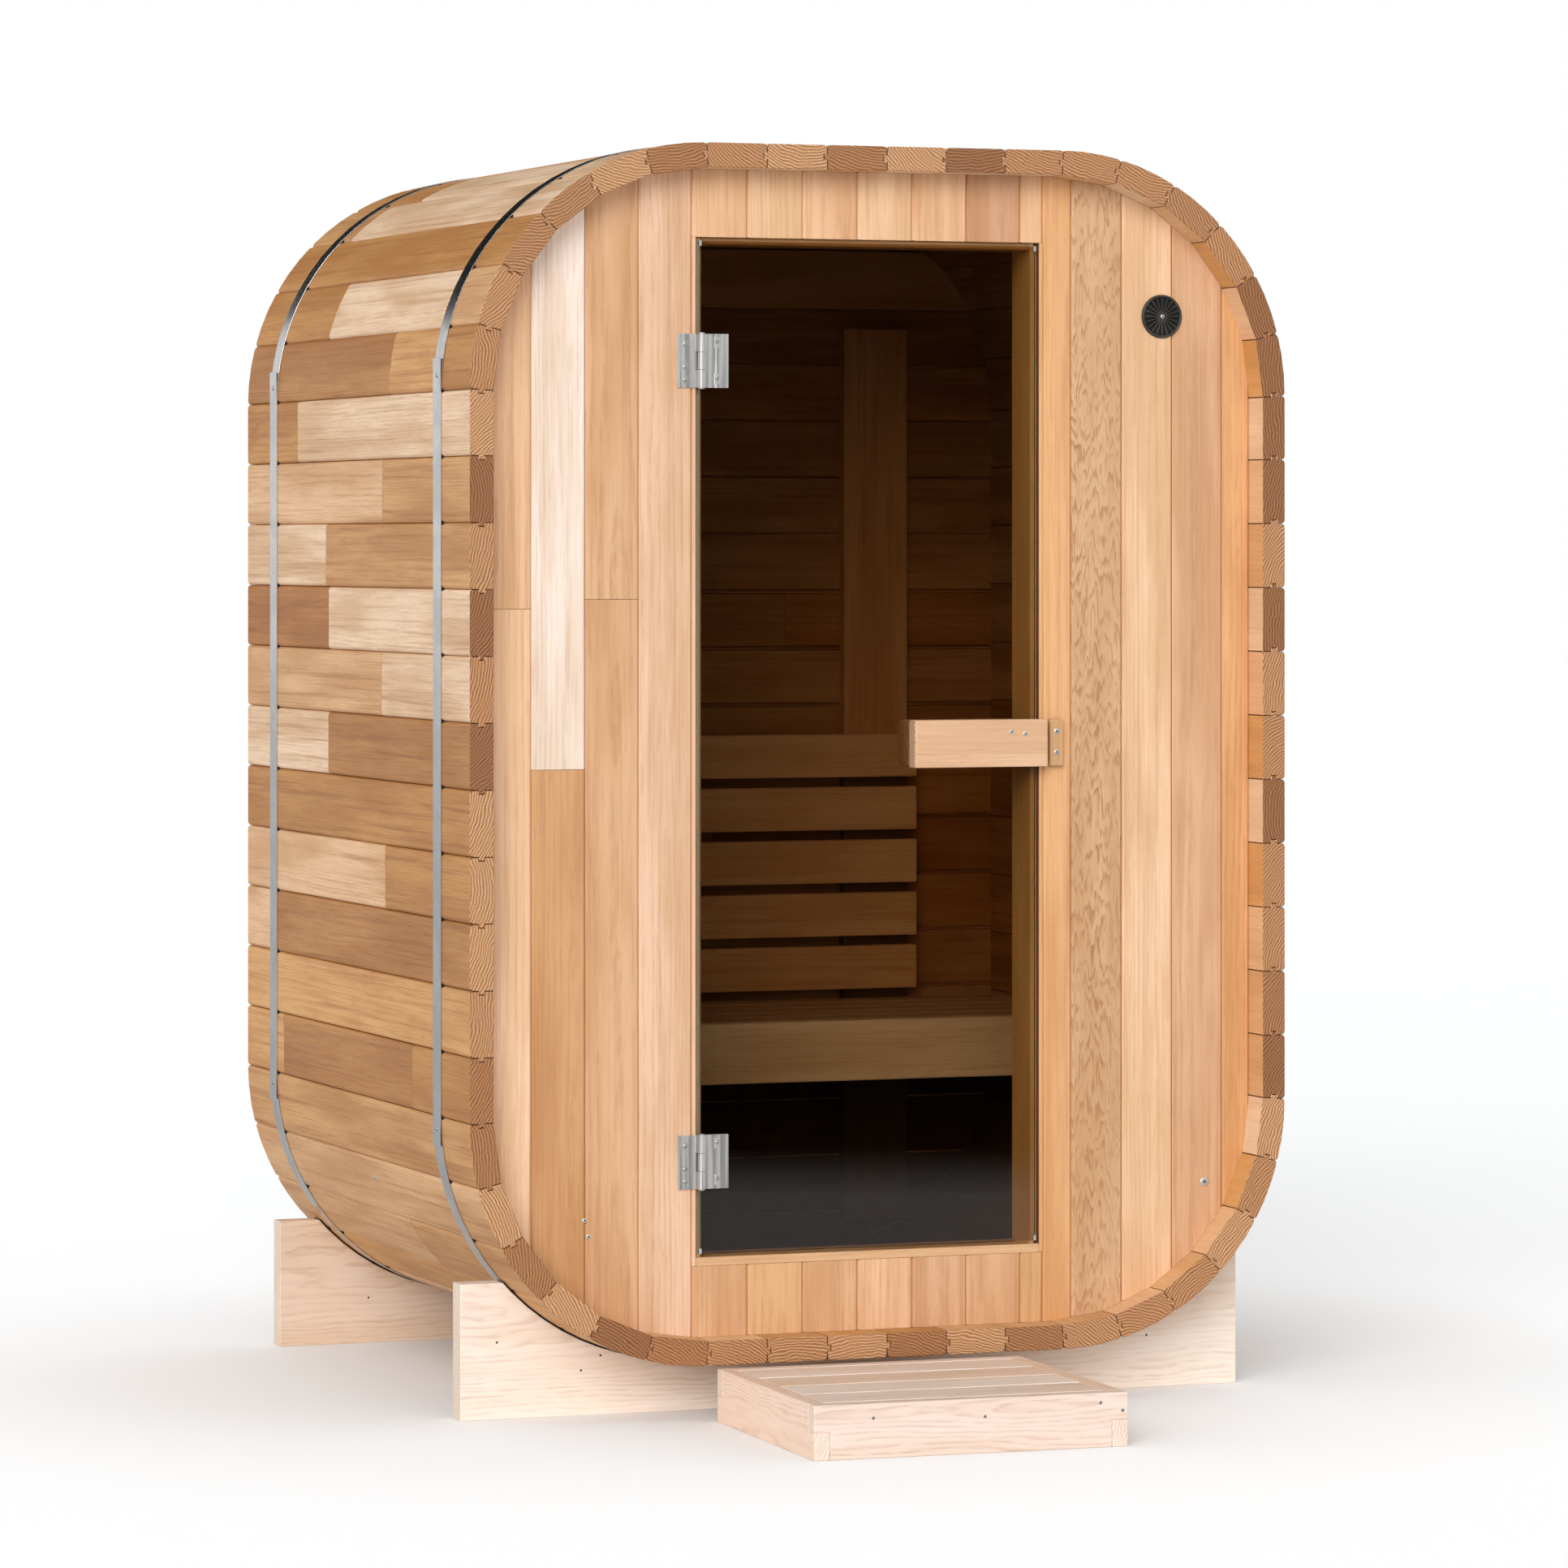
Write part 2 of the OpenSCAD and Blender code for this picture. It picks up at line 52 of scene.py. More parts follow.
SHELL_LOW = Vector(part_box("floor_staves")[0])
FRONT = SHELL_LOW.y                       # plane of the staves' front ends
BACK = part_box("floor_staves")[1][1]
WALL_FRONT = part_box("front_wall_left")[0][1]
SET_BACK = WALL_FRONT - FRONT             # how far the end walls stand inside the shell
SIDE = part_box("right_wall_staves")[1][0]  # outer face of the right wall
ROOM = Vector((0, (FRONT + BACK) / 2, (SHELL_LOW.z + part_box("roof_staves")[1][2]) / 2))
STAVE_WIDTH = 110 * MM                    # across the outer face, corners included
CORNER_TURN = 15                          # degrees from one stave of a corner to the next
CORNER_RADIUS = STAVE_WIDTH / (2 * math.sin(radians(CORNER_TURN / 2)))
# The staves change to the room's wood, with its painted shade, at these two places within the end
# walls
ROOM_FRONT, ROOM_BACK = WALL_FRONT + 35 * MM, BACK - SET_BACK - 35 * MM
STRIP = 0.9 * MM                          # width of a joint's dark strip, indoors
# Painted shade on timber indoors, and deeper painted shade from the bench's lower edge down
LOW_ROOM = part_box("bench_fascia")[0][2]
PAINTED_SHADE_UNDER_BENCH = (0.16, 0.13, 0.09)
PAINTED_ROOM_SHADE = (0.66, 0.64, 0.60)


def inside(point):
    """True between the two end walls."""
    return ROOM_FRONT - 5 * MM < point.y < ROOM_BACK + 5 * MM


# -------- colours

def colour(text):
    """Linear colour of a hex colour as it is seen."""
    parts = [int(text[i:i + 2], 16) / 255 for i in (0, 2, 4)]
    return (*[c / 12.92 if c <= 0.04045 else ((c + 0.055) / 1.055) ** 2.4 for c in parts], 1.0)


# Timbers of the shell, from the palest to the darkest
CREAM, STRAW, TAN, HONEY = "edcba8", "e5b98c", "dcac7a", "d8a163"
TAWNY, BROWN, UMBER, DARK = "cf9a61", "c28949", "b98044", "b27537"
# Timbers of the walls, the frame and the boards underneath
PALE, PEACH, ROSE, PINK = "f7e3d2", "efc59d", "e9ba90", "deaf88"
AMBER, ORANGE, FAWN = "dcac81", "e4ad78", "d6aa80"
SPRUCE, SPRUCE_END = "f9e8d9", "ecd8c5"
JOINT = colour("5b3319")
# End grain of the staves
ENDS = ["b17d52", "8f5d36", "be8d62", "a06c42", "a9774e", "b58358"]


# -------- node helpers

def new_group(name, inputs, outputs):
    """A shader node group with typed sockets, what its input node gives and its output node."""
    group = bpy.data.node_groups.new(name, "ShaderNodeTree")
    for way, sockets in (("INPUT", inputs), ("OUTPUT", outputs)):
        for kind, label, *value in sockets:
            socket = group.interface.new_socket(name=label, in_out=way,
                                                socket_type="NodeSocket" + kind)
            if value:
                socket.default_value = value[0]
    given = group.nodes.new("NodeGroupInput").outputs
    return group, given, group.nodes.new("NodeGroupOutput")


def put(tree, slot, value):
    """Links a socket to the slot, or sets the slot to a plain value."""
    if isinstance(value, bpy.types.NodeSocket):
        tree.links.new(value, slot)
    else:
        slot.default_value = value


def feed(tree, node, **values):
    """Sets or links inputs of a node by their names, with _ for a space."""
    for name, value in values.items():
        put(tree, node.inputs[name.replace("_", " ")], value)
    return node


def added(tree, kind, **values):
    return feed(tree, tree.nodes.new("ShaderNode" + kind), **values)


def operate(tree, kind, operation, *values):
    node = added(tree, kind)
    node.operation = operation
    for slot, value in zip(node.inputs, values):
        put(tree, slot, value)
    return node.outputs[0]


def math_node(tree, operation, *values):
    return operate(tree, "Math", operation, *values)


def times(tree, a, b):
    return math_node(tree, "MULTIPLY", a, b)


def plus(tree, a, b):
    return math_node(tree, "ADD", a, b)


def distance(tree, a, b):
    return math_node(tree, "SQRT", plus(tree, math_node(tree, "POWER", a, 2.0),
                                        math_node(tree, "POWER", b, 2.0)))


def scaled(tree, vector, by):
    return operate(tree, "VectorMath", "MULTIPLY", vector, by)


def xyz(tree, vector):
    return added(tree, "SeparateXYZ", Vector=vector).outputs


def in_object(tree):
    return added(tree, "TexCoord").outputs["Object"]


def noise(tree, vector, scale, detail=2.0, rough=0.5):
    return added(tree, "TexNoise", Vector=vector, Scale=scale, Detail=detail,
                 Roughness=rough).outputs["Fac"]


def smooth(tree, value, low, high, start=0.0, end=1.0):
    """Goes smoothly from start to end while the value goes from low to high."""
    node = added(tree, "MapRange", Value=value, From_Min=low, From_Max=high, To_Min=start,
                 To_Max=end)
    node.interpolation_type = "SMOOTHSTEP"
    return node.outputs["Result"]


def blend_colour(tree, how, factor, a, b):
    node = added(tree, "Mix")
    node.data_type = "RGBA"
    node.blend_type = how
    for slot, value in ((0, factor), (6, a), (7, b)):
        put(tree, node.inputs[slot], value)
    return node.outputs[2]


def blend(tree, factor, a, b):
    return blend_colour(tree, "MIX", factor, a, b)


def tinted(tree, timber, by):
    return blend_colour(tree, "MULTIPLY", 1.0, timber, by)


def wood_grain():
    """Growth rings round a heart that lies along Y, with fibres, streaks, clouds and a few knots.

    End is 1 on end grain, where the rings show as pale lines on a darker ground.
    """
    tree, given, result = new_group(
        "Wood grain",
        [("Vector", "Grain"), ("Color", "Timber", (0.7, 0.5, 0.3, 1)), ("Float", "End", 0.0),
         ("Float", "Ring Width", 0.0042), ("Float", "Ring Strength", 0.4),
         ("Float", "Fibre Strength", 0.3), ("Float", "Streak Strength", 0.45),
         ("Float", "Cloud Strength", 0.8), ("Float", "Wobble", 0.012), ("Float", "Ripple", 0.0),
         ("Float", "Slope", 0.0), ("Float", "Knots", 0.5)],
        [("Color", "Color"), ("Float", "Height"), ("Float", "Roughness")])
    at, timber = given["Grain"], given["Timber"]

    def figure(across, along, detail, rough=0.5):
        """Noise with so many waves to a metre across the grain and along it."""
        return noise(tree, scaled(tree, at, (across, along, across)), 1.0, detail, rough)

    # knots: a few cells, drawn out along the grain, with the rings bent round them
    cell = added(tree, "TexVoronoi", Vector=scaled(tree, at, (9.0, 2.6, 9.0)), Scale=1.0)
    chosen = added(tree, "SeparateColor", Color=cell.outputs["Color"])
    picked = times(tree, math_node(tree, "GREATER_THAN", chosen.outputs[0], 0.8), given["Knots"])
    knot = times(tree, smooth(tree, cell.outputs["Distance"], 0.03, 0.075, 1.0, 0.0), picked)
    swirl = times(tree, smooth(tree, cell.outputs["Distance"], 0.0, 0.5, 1.0, 0.0), picked)
    # distance from the heart, which wanders along the board
    x, y, z = xyz(tree, at)
    wander = math_node(tree, "SUBTRACT", figure(6.0, 1.3, 4.0, 0.55), 0.5)
    wander = times(tree, times(tree, wander, given["Wobble"]), 2.0)
    reach = plus(tree, distance(tree, x, z), wander)
    reach = plus(tree, reach, times(tree, swirl, 0.014))
    waves = times(tree, figure(42.0, 5.5, 3.0, 0.6), given["Ripple"])
    waves = plus(tree, waves, times(tree, y, given["Slope"]))
    reach = plus(tree, reach, waves)
    rings = math_node(tree, "FRACT", math_node(tree, "DIVIDE", reach, given["Ring Width"]))
    late = times(tree, smooth(tree, rings, 0.35, 0.88), smooth(tree, rings, 0.9, 1.0, 1.0, 0.0))
    years = figure(24.0, 0.5, 2.0)
    late = times(tree, late, smooth(tree, years, 0.3, 0.7, 0.3, 1.0))
    broken = figure(110.0, 22.0, 2.0)
    late = times(tree, late, smooth(tree, broken, 0.36, 0.58, 0.25, 1.0))
    fibre = figure(620.0, 9.0, 2.0, 0.6)
    streak = figure(105.0, 1.7, 5.0, 0.65)
    cloud = figure(13.0, 1.9, 3.0, 0.55)
    fleck = figure(330.0, 17.0, 1.0)
    # paler and deeper clouds first, then darker wood in streaks, late rings, fibres and flecks
    deep = tinted(tree, timber, (0.58, 0.42, 0.28, 1))
    light = tinted(tree, timber, (1.10, 1.15, 1.22, 1))
    dusk = tinted(tree, timber, (0.80, 0.70, 0.56, 1))
    clouded = blend(tree, smooth(tree, cloud, 0.36, 0.64), light, dusk)
    tone = blend(tree, given["Cloud Strength"], timber, clouded)
    for mask, strength in ((smooth(tree, streak, 0.46, 0.76), "Streak Strength"),
                           (late, "Ring Strength"),
                           (smooth(tree, fibre, 0.45, 0.8), "Fibre Strength"),
                           (smooth(tree, fleck, 0.66, 0.76), "Fibre Strength")):
        tone = blend(tree, times(tree, mask, given[strength]), tone, deep)
    tone = blend(tree, knot, tone, (0.20, 0.09, 0.04, 1))
    # end grain: fine pale lines, cut far from the heart, and dark pores
    cut = distance(tree, plus(tree, x, 0.07), plus(tree, z, 0.2))
    bent = figure(30.0, 3.0, 3.0)
    cut = plus(tree, cut, times(tree, bent, 0.014))
    cut = math_node(tree, "FRACT", math_node(tree, "DIVIDE", cut, 0.0052))
    cut = times(tree, smooth(tree, cut, 0.1, 0.5), smooth(tree, cut, 0.55, 0.95, 1.0, 0.0))
    pores = figure(900.0, 30.0, 2.0, 0.7)
    pale = tinted(tree, timber, (1.50, 1.59, 1.70, 1))
    shade = tinted(tree, timber, (0.61, 0.55, 0.49, 1))
    patch = figure(45.0, 5.0, 3.0, 0.6)
    raw = blend(tree, cut, shade, pale)
    raw = blend(tree, smooth(tree, patch, 0.42, 0.64, 0.0, 0.55), raw, timber)
    raw = blend(tree, smooth(tree, pores, 0.5, 0.75, 0.0, 0.7), raw, deep)
    height = plus(tree, times(tree, fibre, 0.6), times(tree, late, 0.4))
    height = math_node(tree, "SUBTRACT", height, times(tree, pores, given["End"]))
    feed(tree, result, Color=blend(tree, given["End"], tone, raw), Height=height,
         Roughness=smooth(tree, fibre, 0.3, 0.8, 0.5, 0.68))
    return tree


def surface(name):
    """A material with its tree, its Principled BSDF and nothing else but the output."""
    material = bpy.data.materials.new(name)
    material.use_nodes = True
    return material, material.node_tree, material.node_tree.nodes["Principled BSDF"]


def mix_shaders(tree, factor, first, second):
    """Sends a mix of two shaders to the material's output."""
    mixed = added(tree, "MixShader")
    for slot, value in zip(mixed.inputs, (factor, first.outputs[0], second.outputs[0])):
        put(tree, slot, value)
    feed(tree, tree.nodes["Material Output"], Surface=mixed.outputs[0])


def bump_from(tree, height, relief, strength):
    return added(tree, "Bump", Height=height, Distance=relief, Strength=strength).outputs["Normal"]


def wood(name, **values):
    """Wood whose figure follows the corner attributes that join() gives a mesh."""
    material, tree, shader = surface(name)
    grain, timber, figure = (added(tree, kind) for kind in ("Attribute", "Attribute", "Group"))
    grain.attribute_name, timber.attribute_name, figure.node_tree = "grain", "timber", GRAIN
    feed(tree, figure, Grain=grain.outputs["Vector"], Timber=timber.outputs["Color"],
         End=timber.outputs["Alpha"], **values)
    feed(tree, shader, Base_Color=figure.outputs["Color"], Roughness=figure.outputs["Roughness"],
         Normal=bump_from(tree, figure.outputs["Height"], 0.0004, 0.5))
    return material


def darker(tint, by):
    return (*[c * by for c in tint[:3]], 1.0)


def steel(name, tint, rough, scale, bands=None):
    """Satin steel, brushed along the given directions, with broader bands where they are given."""
    material, tree, shader = surface(name)
    place = in_object(tree)
    brushed = noise(tree, scaled(tree, place, scale), 1.0, 3.0, 0.6)
    cloudy = noise(tree, place, 14.0, 3.0)
    shade = blend(tree, smooth(tree, brushed, 0.3, 0.8), tint, darker(tint, 0.74))
    shade = blend(tree, smooth(tree, cloudy, 0.42, 0.62, 0.0, 0.5), shade, darker(tint, 0.7))
    if bands:
        wide = noise(tree, scaled(tree, place, bands), 1.0, 2.0)
        shade = blend(tree, smooth(tree, wide, 0.4, 0.62), shade, darker(tint, 0.5))
    mixed = plus(tree, smooth(tree, brushed, 0.3, 0.8, rough, rough + 0.12),
                 smooth(tree, cloudy, 0.4, 0.7, 0.0, 0.06))
    feed(tree, shader, Base_Color=shade, Roughness=mixed, Metallic=1.0,
         Normal=bump_from(tree, brushed, 0.0001, 0.4))
    return material


def moulded(name, dark, light, rough):
    """Plastic or rubber with a fine grain and a little dust."""
    material, tree, shader = surface(name)
    place = in_object(tree)
    grit = noise(tree, place, 900.0, 2.0)
    dust = noise(tree, place, 30.0, 4.0, 0.6)
    feed(tree, shader, Base_Color=blend(tree, smooth(tree, dust, 0.4, 0.75), dark, light),
         Roughness=smooth(tree, dust, 0.3, 0.7, rough, rough + 0.15), Specular_IOR_Level=0.2,
         Normal=bump_from(tree, grit, 0.0002, 0.4))
    return material


def bronze_glass(name, tint, edge=False):
    """Clear tinted glass that lets light past for shadows; an edge is clouded and less clear."""
    material, tree, shader = surface(name)
    smear = noise(tree, scaled(tree, in_object(tree), (3.0, 3.0, 1.2)), 1.0, 3.0)
    clear, shine, rough = (0.35, 0.5, 0.25) if edge else (1.0, 0.14, 0.0)
    feed(tree, shader, Base_Color=tint, Transmission_Weight=clear, Specular_IOR_Level=shine,
         IOR=1.45, Roughness=smooth(tree, smear, 0.45, 0.75, rough, rough + 0.02))
    mix_shaders(tree, added(tree, "LightPath").outputs["Is Shadow Ray"], shader,
                added(tree, "BsdfTransparent", Color=tint))
    return material


GRAIN = wood_grain()
STAVE_WOOD = wood("stave wood", Ring_Strength=0.34, Streak_Strength=0.85, Fibre_Strength=0.36,
                  Cloud_Strength=0.75, Knots=0.25)
WALL_WOOD = wood("wall wood", Ring_Strength=0.34, Streak_Strength=0.4, Fibre_Strength=0.26,
                 Cloud_Strength=0.55, Wobble=0.008, Knots=0.0)
FLAT_SAWN = wood("flat-sawn board", Ring_Strength=0.9, Streak_Strength=0.2, Ring_Width=0.0075,
                 Cloud_Strength=0.5, Wobble=0.03, Ripple=0.05, Slope=0.16, Knots=0.0)
FRAME_WOOD = wood("frame wood", Ring_Strength=0.26, Streak_Strength=0.3, Cloud_Strength=0.4,
                  Knots=0.0)
SPRUCE_WOOD = wood("spruce", Ring_Strength=0.40, Streak_Strength=0.16, Fibre_Strength=0.08,
                   Cloud_Strength=0.25, Ring_Width=0.008, Wobble=0.045, Knots=0.6)
HOOP_STEEL = steel("hoop steel", (0.56, 0.555, 0.55, 1), 0.15, (60.0, 700.0, 60.0))
HINGE_STEEL = steel("hinge steel", (0.84, 0.83, 0.81, 1), 0.33, (900.0, 900.0, 8.0),
                    (150.0, 150.0, 4.0))
SCREW_STEEL = steel("screw steel", (0.80, 0.79, 0.76, 1), 0.32, (400.0, 400.0, 400.0))
VENT_BLACK = moulded("vent plastic", (0.036, 0.033, 0.027, 1), (0.085, 0.078, 0.064, 1), 0.3)
RUBBER = moulded("bearing rubber", (0.012, 0.012, 0.012, 1), (0.025, 0.024, 0.023, 1), 0.7)
CLEAR_PAD = moulded("clear bumper", (0.36, 0.37, 0.35, 1), (0.55, 0.56, 0.53, 1), 0.15)
# Faces towards the room, whose timber colour join() paints darker as the room's shade
ROOM_WOOD_PAINTED_DARK = wood("wood with painted room shade", Ring_Strength=0.3, Streak_Strength=0.5,
                 Cloud_Strength=0.9, Knots=0.0)
feed(ROOM_WOOD_PAINTED_DARK.node_tree, ROOM_WOOD_PAINTED_DARK.node_tree.nodes["Principled BSDF"], Specular_IOR_Level=0.06)
RIM_WOOD = wood("wood of the rim", Ring_Strength=0.1, Streak_Strength=0.22, Fibre_Strength=0.2,
                Cloud_Strength=0.4, Knots=0.0)
GLASS = bronze_glass("bronze glass", (0.56, 0.47, 0.355, 1))
GLASS_EDGE = bronze_glass("polished glass edge", (0.50, 0.51, 0.44, 1), edge=True)


# -------- meshes

def linked(name, data):
    """An object for the data, in the scene."""
    thing = bpy.data.objects.new(name, data)
    bpy.context.scene.collection.objects.link(thing)
    return thing


def finished(name, mesh, body, slot, *replaced):
    """An object for a mesh, riding on its body and standing for the nodes it replaces."""
    mesh.shade_smooth()
    mesh.set_sharp_from_angle(angle=radians(8))
    piece = linked(name, mesh)
    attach(piece, body)
    if replaced:
        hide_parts(*replaced)
    return piece


def as_mesh(name, bm, *materials):
    """A mesh of a bmesh, which is freed, with its materials."""
    mesh = bpy.data.meshes.new(name)
    bm.to_mesh(mesh)
    bm.free()
    for material in materials:
        mesh.materials.append(material)
    return mesh


def add_to(whole, bm):
    """Adds the faces of one bmesh to another."""
    part = bpy.data.meshes.new("part")
    bm.to_mesh(part)
    whole.from_mesh(part)
    bpy.data.meshes.remove(part)


def split(bm, way, place, **more):
    """Cuts the faces along a plane and leaves both halves, unless one is to be cleared."""
    return bmesh.ops.bisect_plane(bm, geom=bm.verts[:] + bm.edges[:] + bm.faces[:],
                                  plane_co=way * place, plane_no=way, **more)


def solids_of(node):
    """The node's solids, each in a bmesh of its own with its flat faces whole."""
    whole = bmesh.new()
    whole.from_mesh(NODES[node].data)
    bmesh.ops.remove_doubles(whole, verts=whole.verts, dist=2e-5)
    bmesh.ops.dissolve_limit(whole, angle_limit=radians(0.3), verts=whole.verts,
                             edges=whole.edges)
    whole.faces.index_update()
    left, solids = set(whole.faces), []
    while left:
        group, front = set(), [left.pop()]
        while front:
            face = front.pop()
            group.add(face)
            near = {other for edge in face.edges for other in edge.link_faces} & left
            left -= near
            front += near
        solid = whole.copy()
        kept = {face.index for face in group}
        bmesh.ops.delete(solid, geom=[f for f in solid.faces if f.index not in kept],
                         context="FACES")
        solids.append(solid)
    whole.free()
    return sorted(solids, key=lambda s: tuple(round(c, 4) for c in middle(s)))


def middle(bm):
    low, high = extent(bm)
    return (low + high) / 2


def extent(bm):
    points = [v.co for v in bm.verts]
    return (Vector(map(min, zip(*points))), Vector(map(max, zip(*points))))


def length_of(bm, along, low, high):
    """A copy of the bmesh between two places along an axis, with its cut ends closed."""
    part = bm.copy()
    for place, side in ((low, -1), (high, 1)):
        cut = split(part, along * side, place * side, clear_outer=True)
        rim = [e for e in cut["geom_cut"] if isinstance(e, bmesh.types.BMEdge) and e.is_boundary]
        if rim:
            bmesh.ops.holes_fill(part, edges=rim, sides=0)
    bmesh.ops.recalc_face_normals(part, faces=part.faces)
    return part


def bevel(bm, edges, size, segments):
    bmesh.ops.bevel(bm, geom=edges, offset=size, offset_type="OFFSET", segments=segments,
                    profile=0.5, affect="EDGES", clamp_overlap=True, material=-1)


def is_sharp(edge, angle):
    return len(edge.link_faces) == 2 and edge.calc_face_angle(0) > radians(angle)


def ease(bm, size, angle=25):
    """Rounds every sharp edge a little."""
    bevel(bm, [e for e in bm.edges if is_sharp(e, angle)], size, 2)


def direction(edge):
    return (edge.verts[1].co - edge.verts[0].co).normalized()


def broad_side(bm, along):
    """Normal of the widest face that lies along the grain."""
    level = [f for f in bm.faces if abs(f.normal.dot(along)) < 0.3]
    return max(level, key=lambda f: f.calc_area()).normal.copy()


def screw(bm, place, out, radius, socket=4, head=0.9 * MM, recess=0.5):
    """A pan head standing on a surface, with a recess of so many sides."""
    turn = Matrix.Translation(place) @ out.to_track_quat("Z", "Y").to_matrix().to_4x4()
    made = bmesh.ops.create_circle(bm, cap_ends=True, segments=24, radius=radius, matrix=turn)
    top = made["verts"][0].link_faces[0]
    risen = bmesh.ops.extrude_face_region(bm, geom=[top])["geom"]
    bmesh.ops.translate(bm, verts=[v for v in risen if isinstance(v, bmesh.types.BMVert)],
                        vec=out * head * 0.6)
    top = [f for f in risen if isinstance(f, bmesh.types.BMFace)][0]
    bmesh.ops.inset_individual(bm, faces=[top], thickness=radius * 0.2, depth=head * 0.4)
    # the recess is a dark plate just over the head, painted shade in place of a hole
    hole = bmesh.ops.create_circle(bm, cap_ends=True, segments=socket, radius=radius * recess,
                                   matrix=turn @ Matrix.Translation((0, 0, head * 1.04)))
    hole["verts"][0].link_faces[0].material_index = 1


class Board:
    """One length of timber: its bmesh, its grain direction and its colours."""

    def __init__(self, bm, along, timber, end=None, heart=None, out=None):
        self.bm, self.along = bm, along
        self.timber = Vector(colour(timber))
        self.end = Vector(colour(end)) if end else self.timber * 0.7
        self.out = out if out else broad_side(bm, along)
        self.side = along.cross(self.out).normalized()
        self.heart = heart if heart else (chance.uniform(-0.09, 0.09),
                                          chance.uniform(0.02, 0.12) * chance.choice((-1, 1)))
        self.shift = chance.uniform(0, 40)


def join(name, boards, material, body, slot, *replaced, indoors=False, painted_shade_below=None):
    """One mesh of all boards, each with its own grain coordinates and timber colour.

    The fourth value of the colour marks end grain, faintly on spruce. On the shell and the walls
    (indoors) faces towards the room are painted darker as the room's shade, the rim before the
    front wall is calm wood, and eased edges and narrow strips at the joints are dark. Faces under
    the height given last are painted dark too, as the shade there.
    """
    whole = bmesh.new()
    counts = []
    for board in boards:
        before = len(whole.faces)
        add_to(whole, board.bm)
        counts.append(len(whole.faces) - before)
    mesh = as_mesh(name, whole, material, *((ROOM_WOOD_PAINTED_DARK, RIM_WOOD) if indoors else ()))
    grain = np.zeros((len(mesh.loops), 3), "f")
    timber = np.ones((len(mesh.loops), 4), "f")
    places = np.zeros(len(mesh.vertices) * 3, "f")
    mesh.vertices.foreach_get("co", places)
    places = places.reshape(-1, 3)
    start = 0
    for board, count in zip(boards, counts):
        centre = middle(board.bm)
        axes = np.array([board.side, board.along, board.out])
        offset = np.array([board.heart[0], board.shift, board.heart[1]])
        for face in mesh.polygons[start:start + count]:
            loops = list(face.loop_indices)
            corners = places[[mesh.loops[i].vertex_index for i in loops]] - np.array(centre)
            grain[loops] = corners @ axes.T + offset
            is_end = abs(face.normal.dot(board.along)) > 0.7
            timber[loops, :3] = (board.end if is_end else board.timber)[:3]
            timber[loops, 3] = is_end * (0.3 if material is SPRUCE_WOOD else 1.0)
            # painted shade below the given height
            if painted_shade_below and face.center.z < painted_shade_below:
                timber[loops, :3] *= PAINTED_SHADE_UNDER_BENCH
            if not indoors:
                continue
            # faces towards the room get painted shade, deeper below the bench's lower edge
            if face.normal.dot((ROOM - face.center).normalized()) > 0.35:
                if inside(face.center):
                    timber[loops, :3] *= PAINTED_SHADE_UNDER_BENCH if face.center.z < LOW_ROOM else PAINTED_ROOM_SHADE
                    face.material_index = 1
                elif face.center.y < WALL_FRONT:
                    face.material_index = 2
                if np.ptp(corners @ np.array(board.side)) < STRIP + 0.3 * MM:
                    timber[loops, :3] = JOINT[:3]
            lengthwise, sideways = (abs(face.normal.dot(v)) for v in (board.along, board.side))
            if 0.4 < lengthwise < 0.9 and sideways > 0.35:
                timber[loops] = (*JOINT[:3], 0.0)
        start += count
        board.bm.free()
    mesh.attributes.new("grain", "FLOAT_VECTOR", "CORNER").data.foreach_set("vector", grain.ravel())
    mesh.attributes.new("timber", "FLOAT_COLOR", "CORNER").data.foreach_set("color", timber.ravel())
    return finished(name, mesh, body, slot, *replaced)


def round_end(part, along, place, out, size=7 * MM):
    """Rounds the two outer corners of a length where it was cut off."""
    outer = max(v.co.dot(out) for v in part.verts) - 15 * MM
    corners = [e for e in part.edges
               if all(abs(v.co.dot(along) - place) < 0.05 * MM and v.co.dot(out) > outer
                      for v in e.verts)
               and abs(direction(e).dot(out)) > 0.5]
    bevel(part, corners, size, 4)


def round_outside(part, along, out, size=3.2 * MM):
    """Rounds the two outer corners that run along a stave, which leaves a groove at every joint."""
    top = max(v.co.dot(out) for v in part.verts)
    corners = [e for e in part.edges if is_sharp(e, 40) and abs(direction(e).dot(along)) > 0.99
               and e.verts[0].co.dot(out) > top - 5 * MM]
    bevel(part, corners, size, 3)


def ease_ends(part, along, size=1.0 * MM):
    """Takes the sharpness off the edges round a stave's two ends."""
    for outward in (along, -along):
        last = max(v.co.dot(outward) for v in part.verts) - 0.05 * MM
        ends = [f for f in part.faces if all(v.co.dot(outward) > last for v in f.verts)]
        bmesh.ops.inset_region(part, faces=ends, thickness=size, depth=0.0, use_boundary=True,
                               use_even_offset=False)
        inner = {v for f in ends for v in f.verts}
        rim = [v for v in part.verts if v.co.dot(outward) > last and v not in inner]
        bmesh.ops.translate(part, verts=rim, vec=outward * -size)


def joint_strips(part, along, out):
    """Splits off a strip at each edge of a stave's face towards the room, to be dark."""
    side = along.cross(out)
    face = min(v.co.dot(out) for v in part.verts) + 2 * MM
    places = [v.co.dot(side) for v in part.verts if v.co.dot(out) < face]
    split(part, side, min(places) + STRIP)
    split(part, side, max(places) - STRIP)


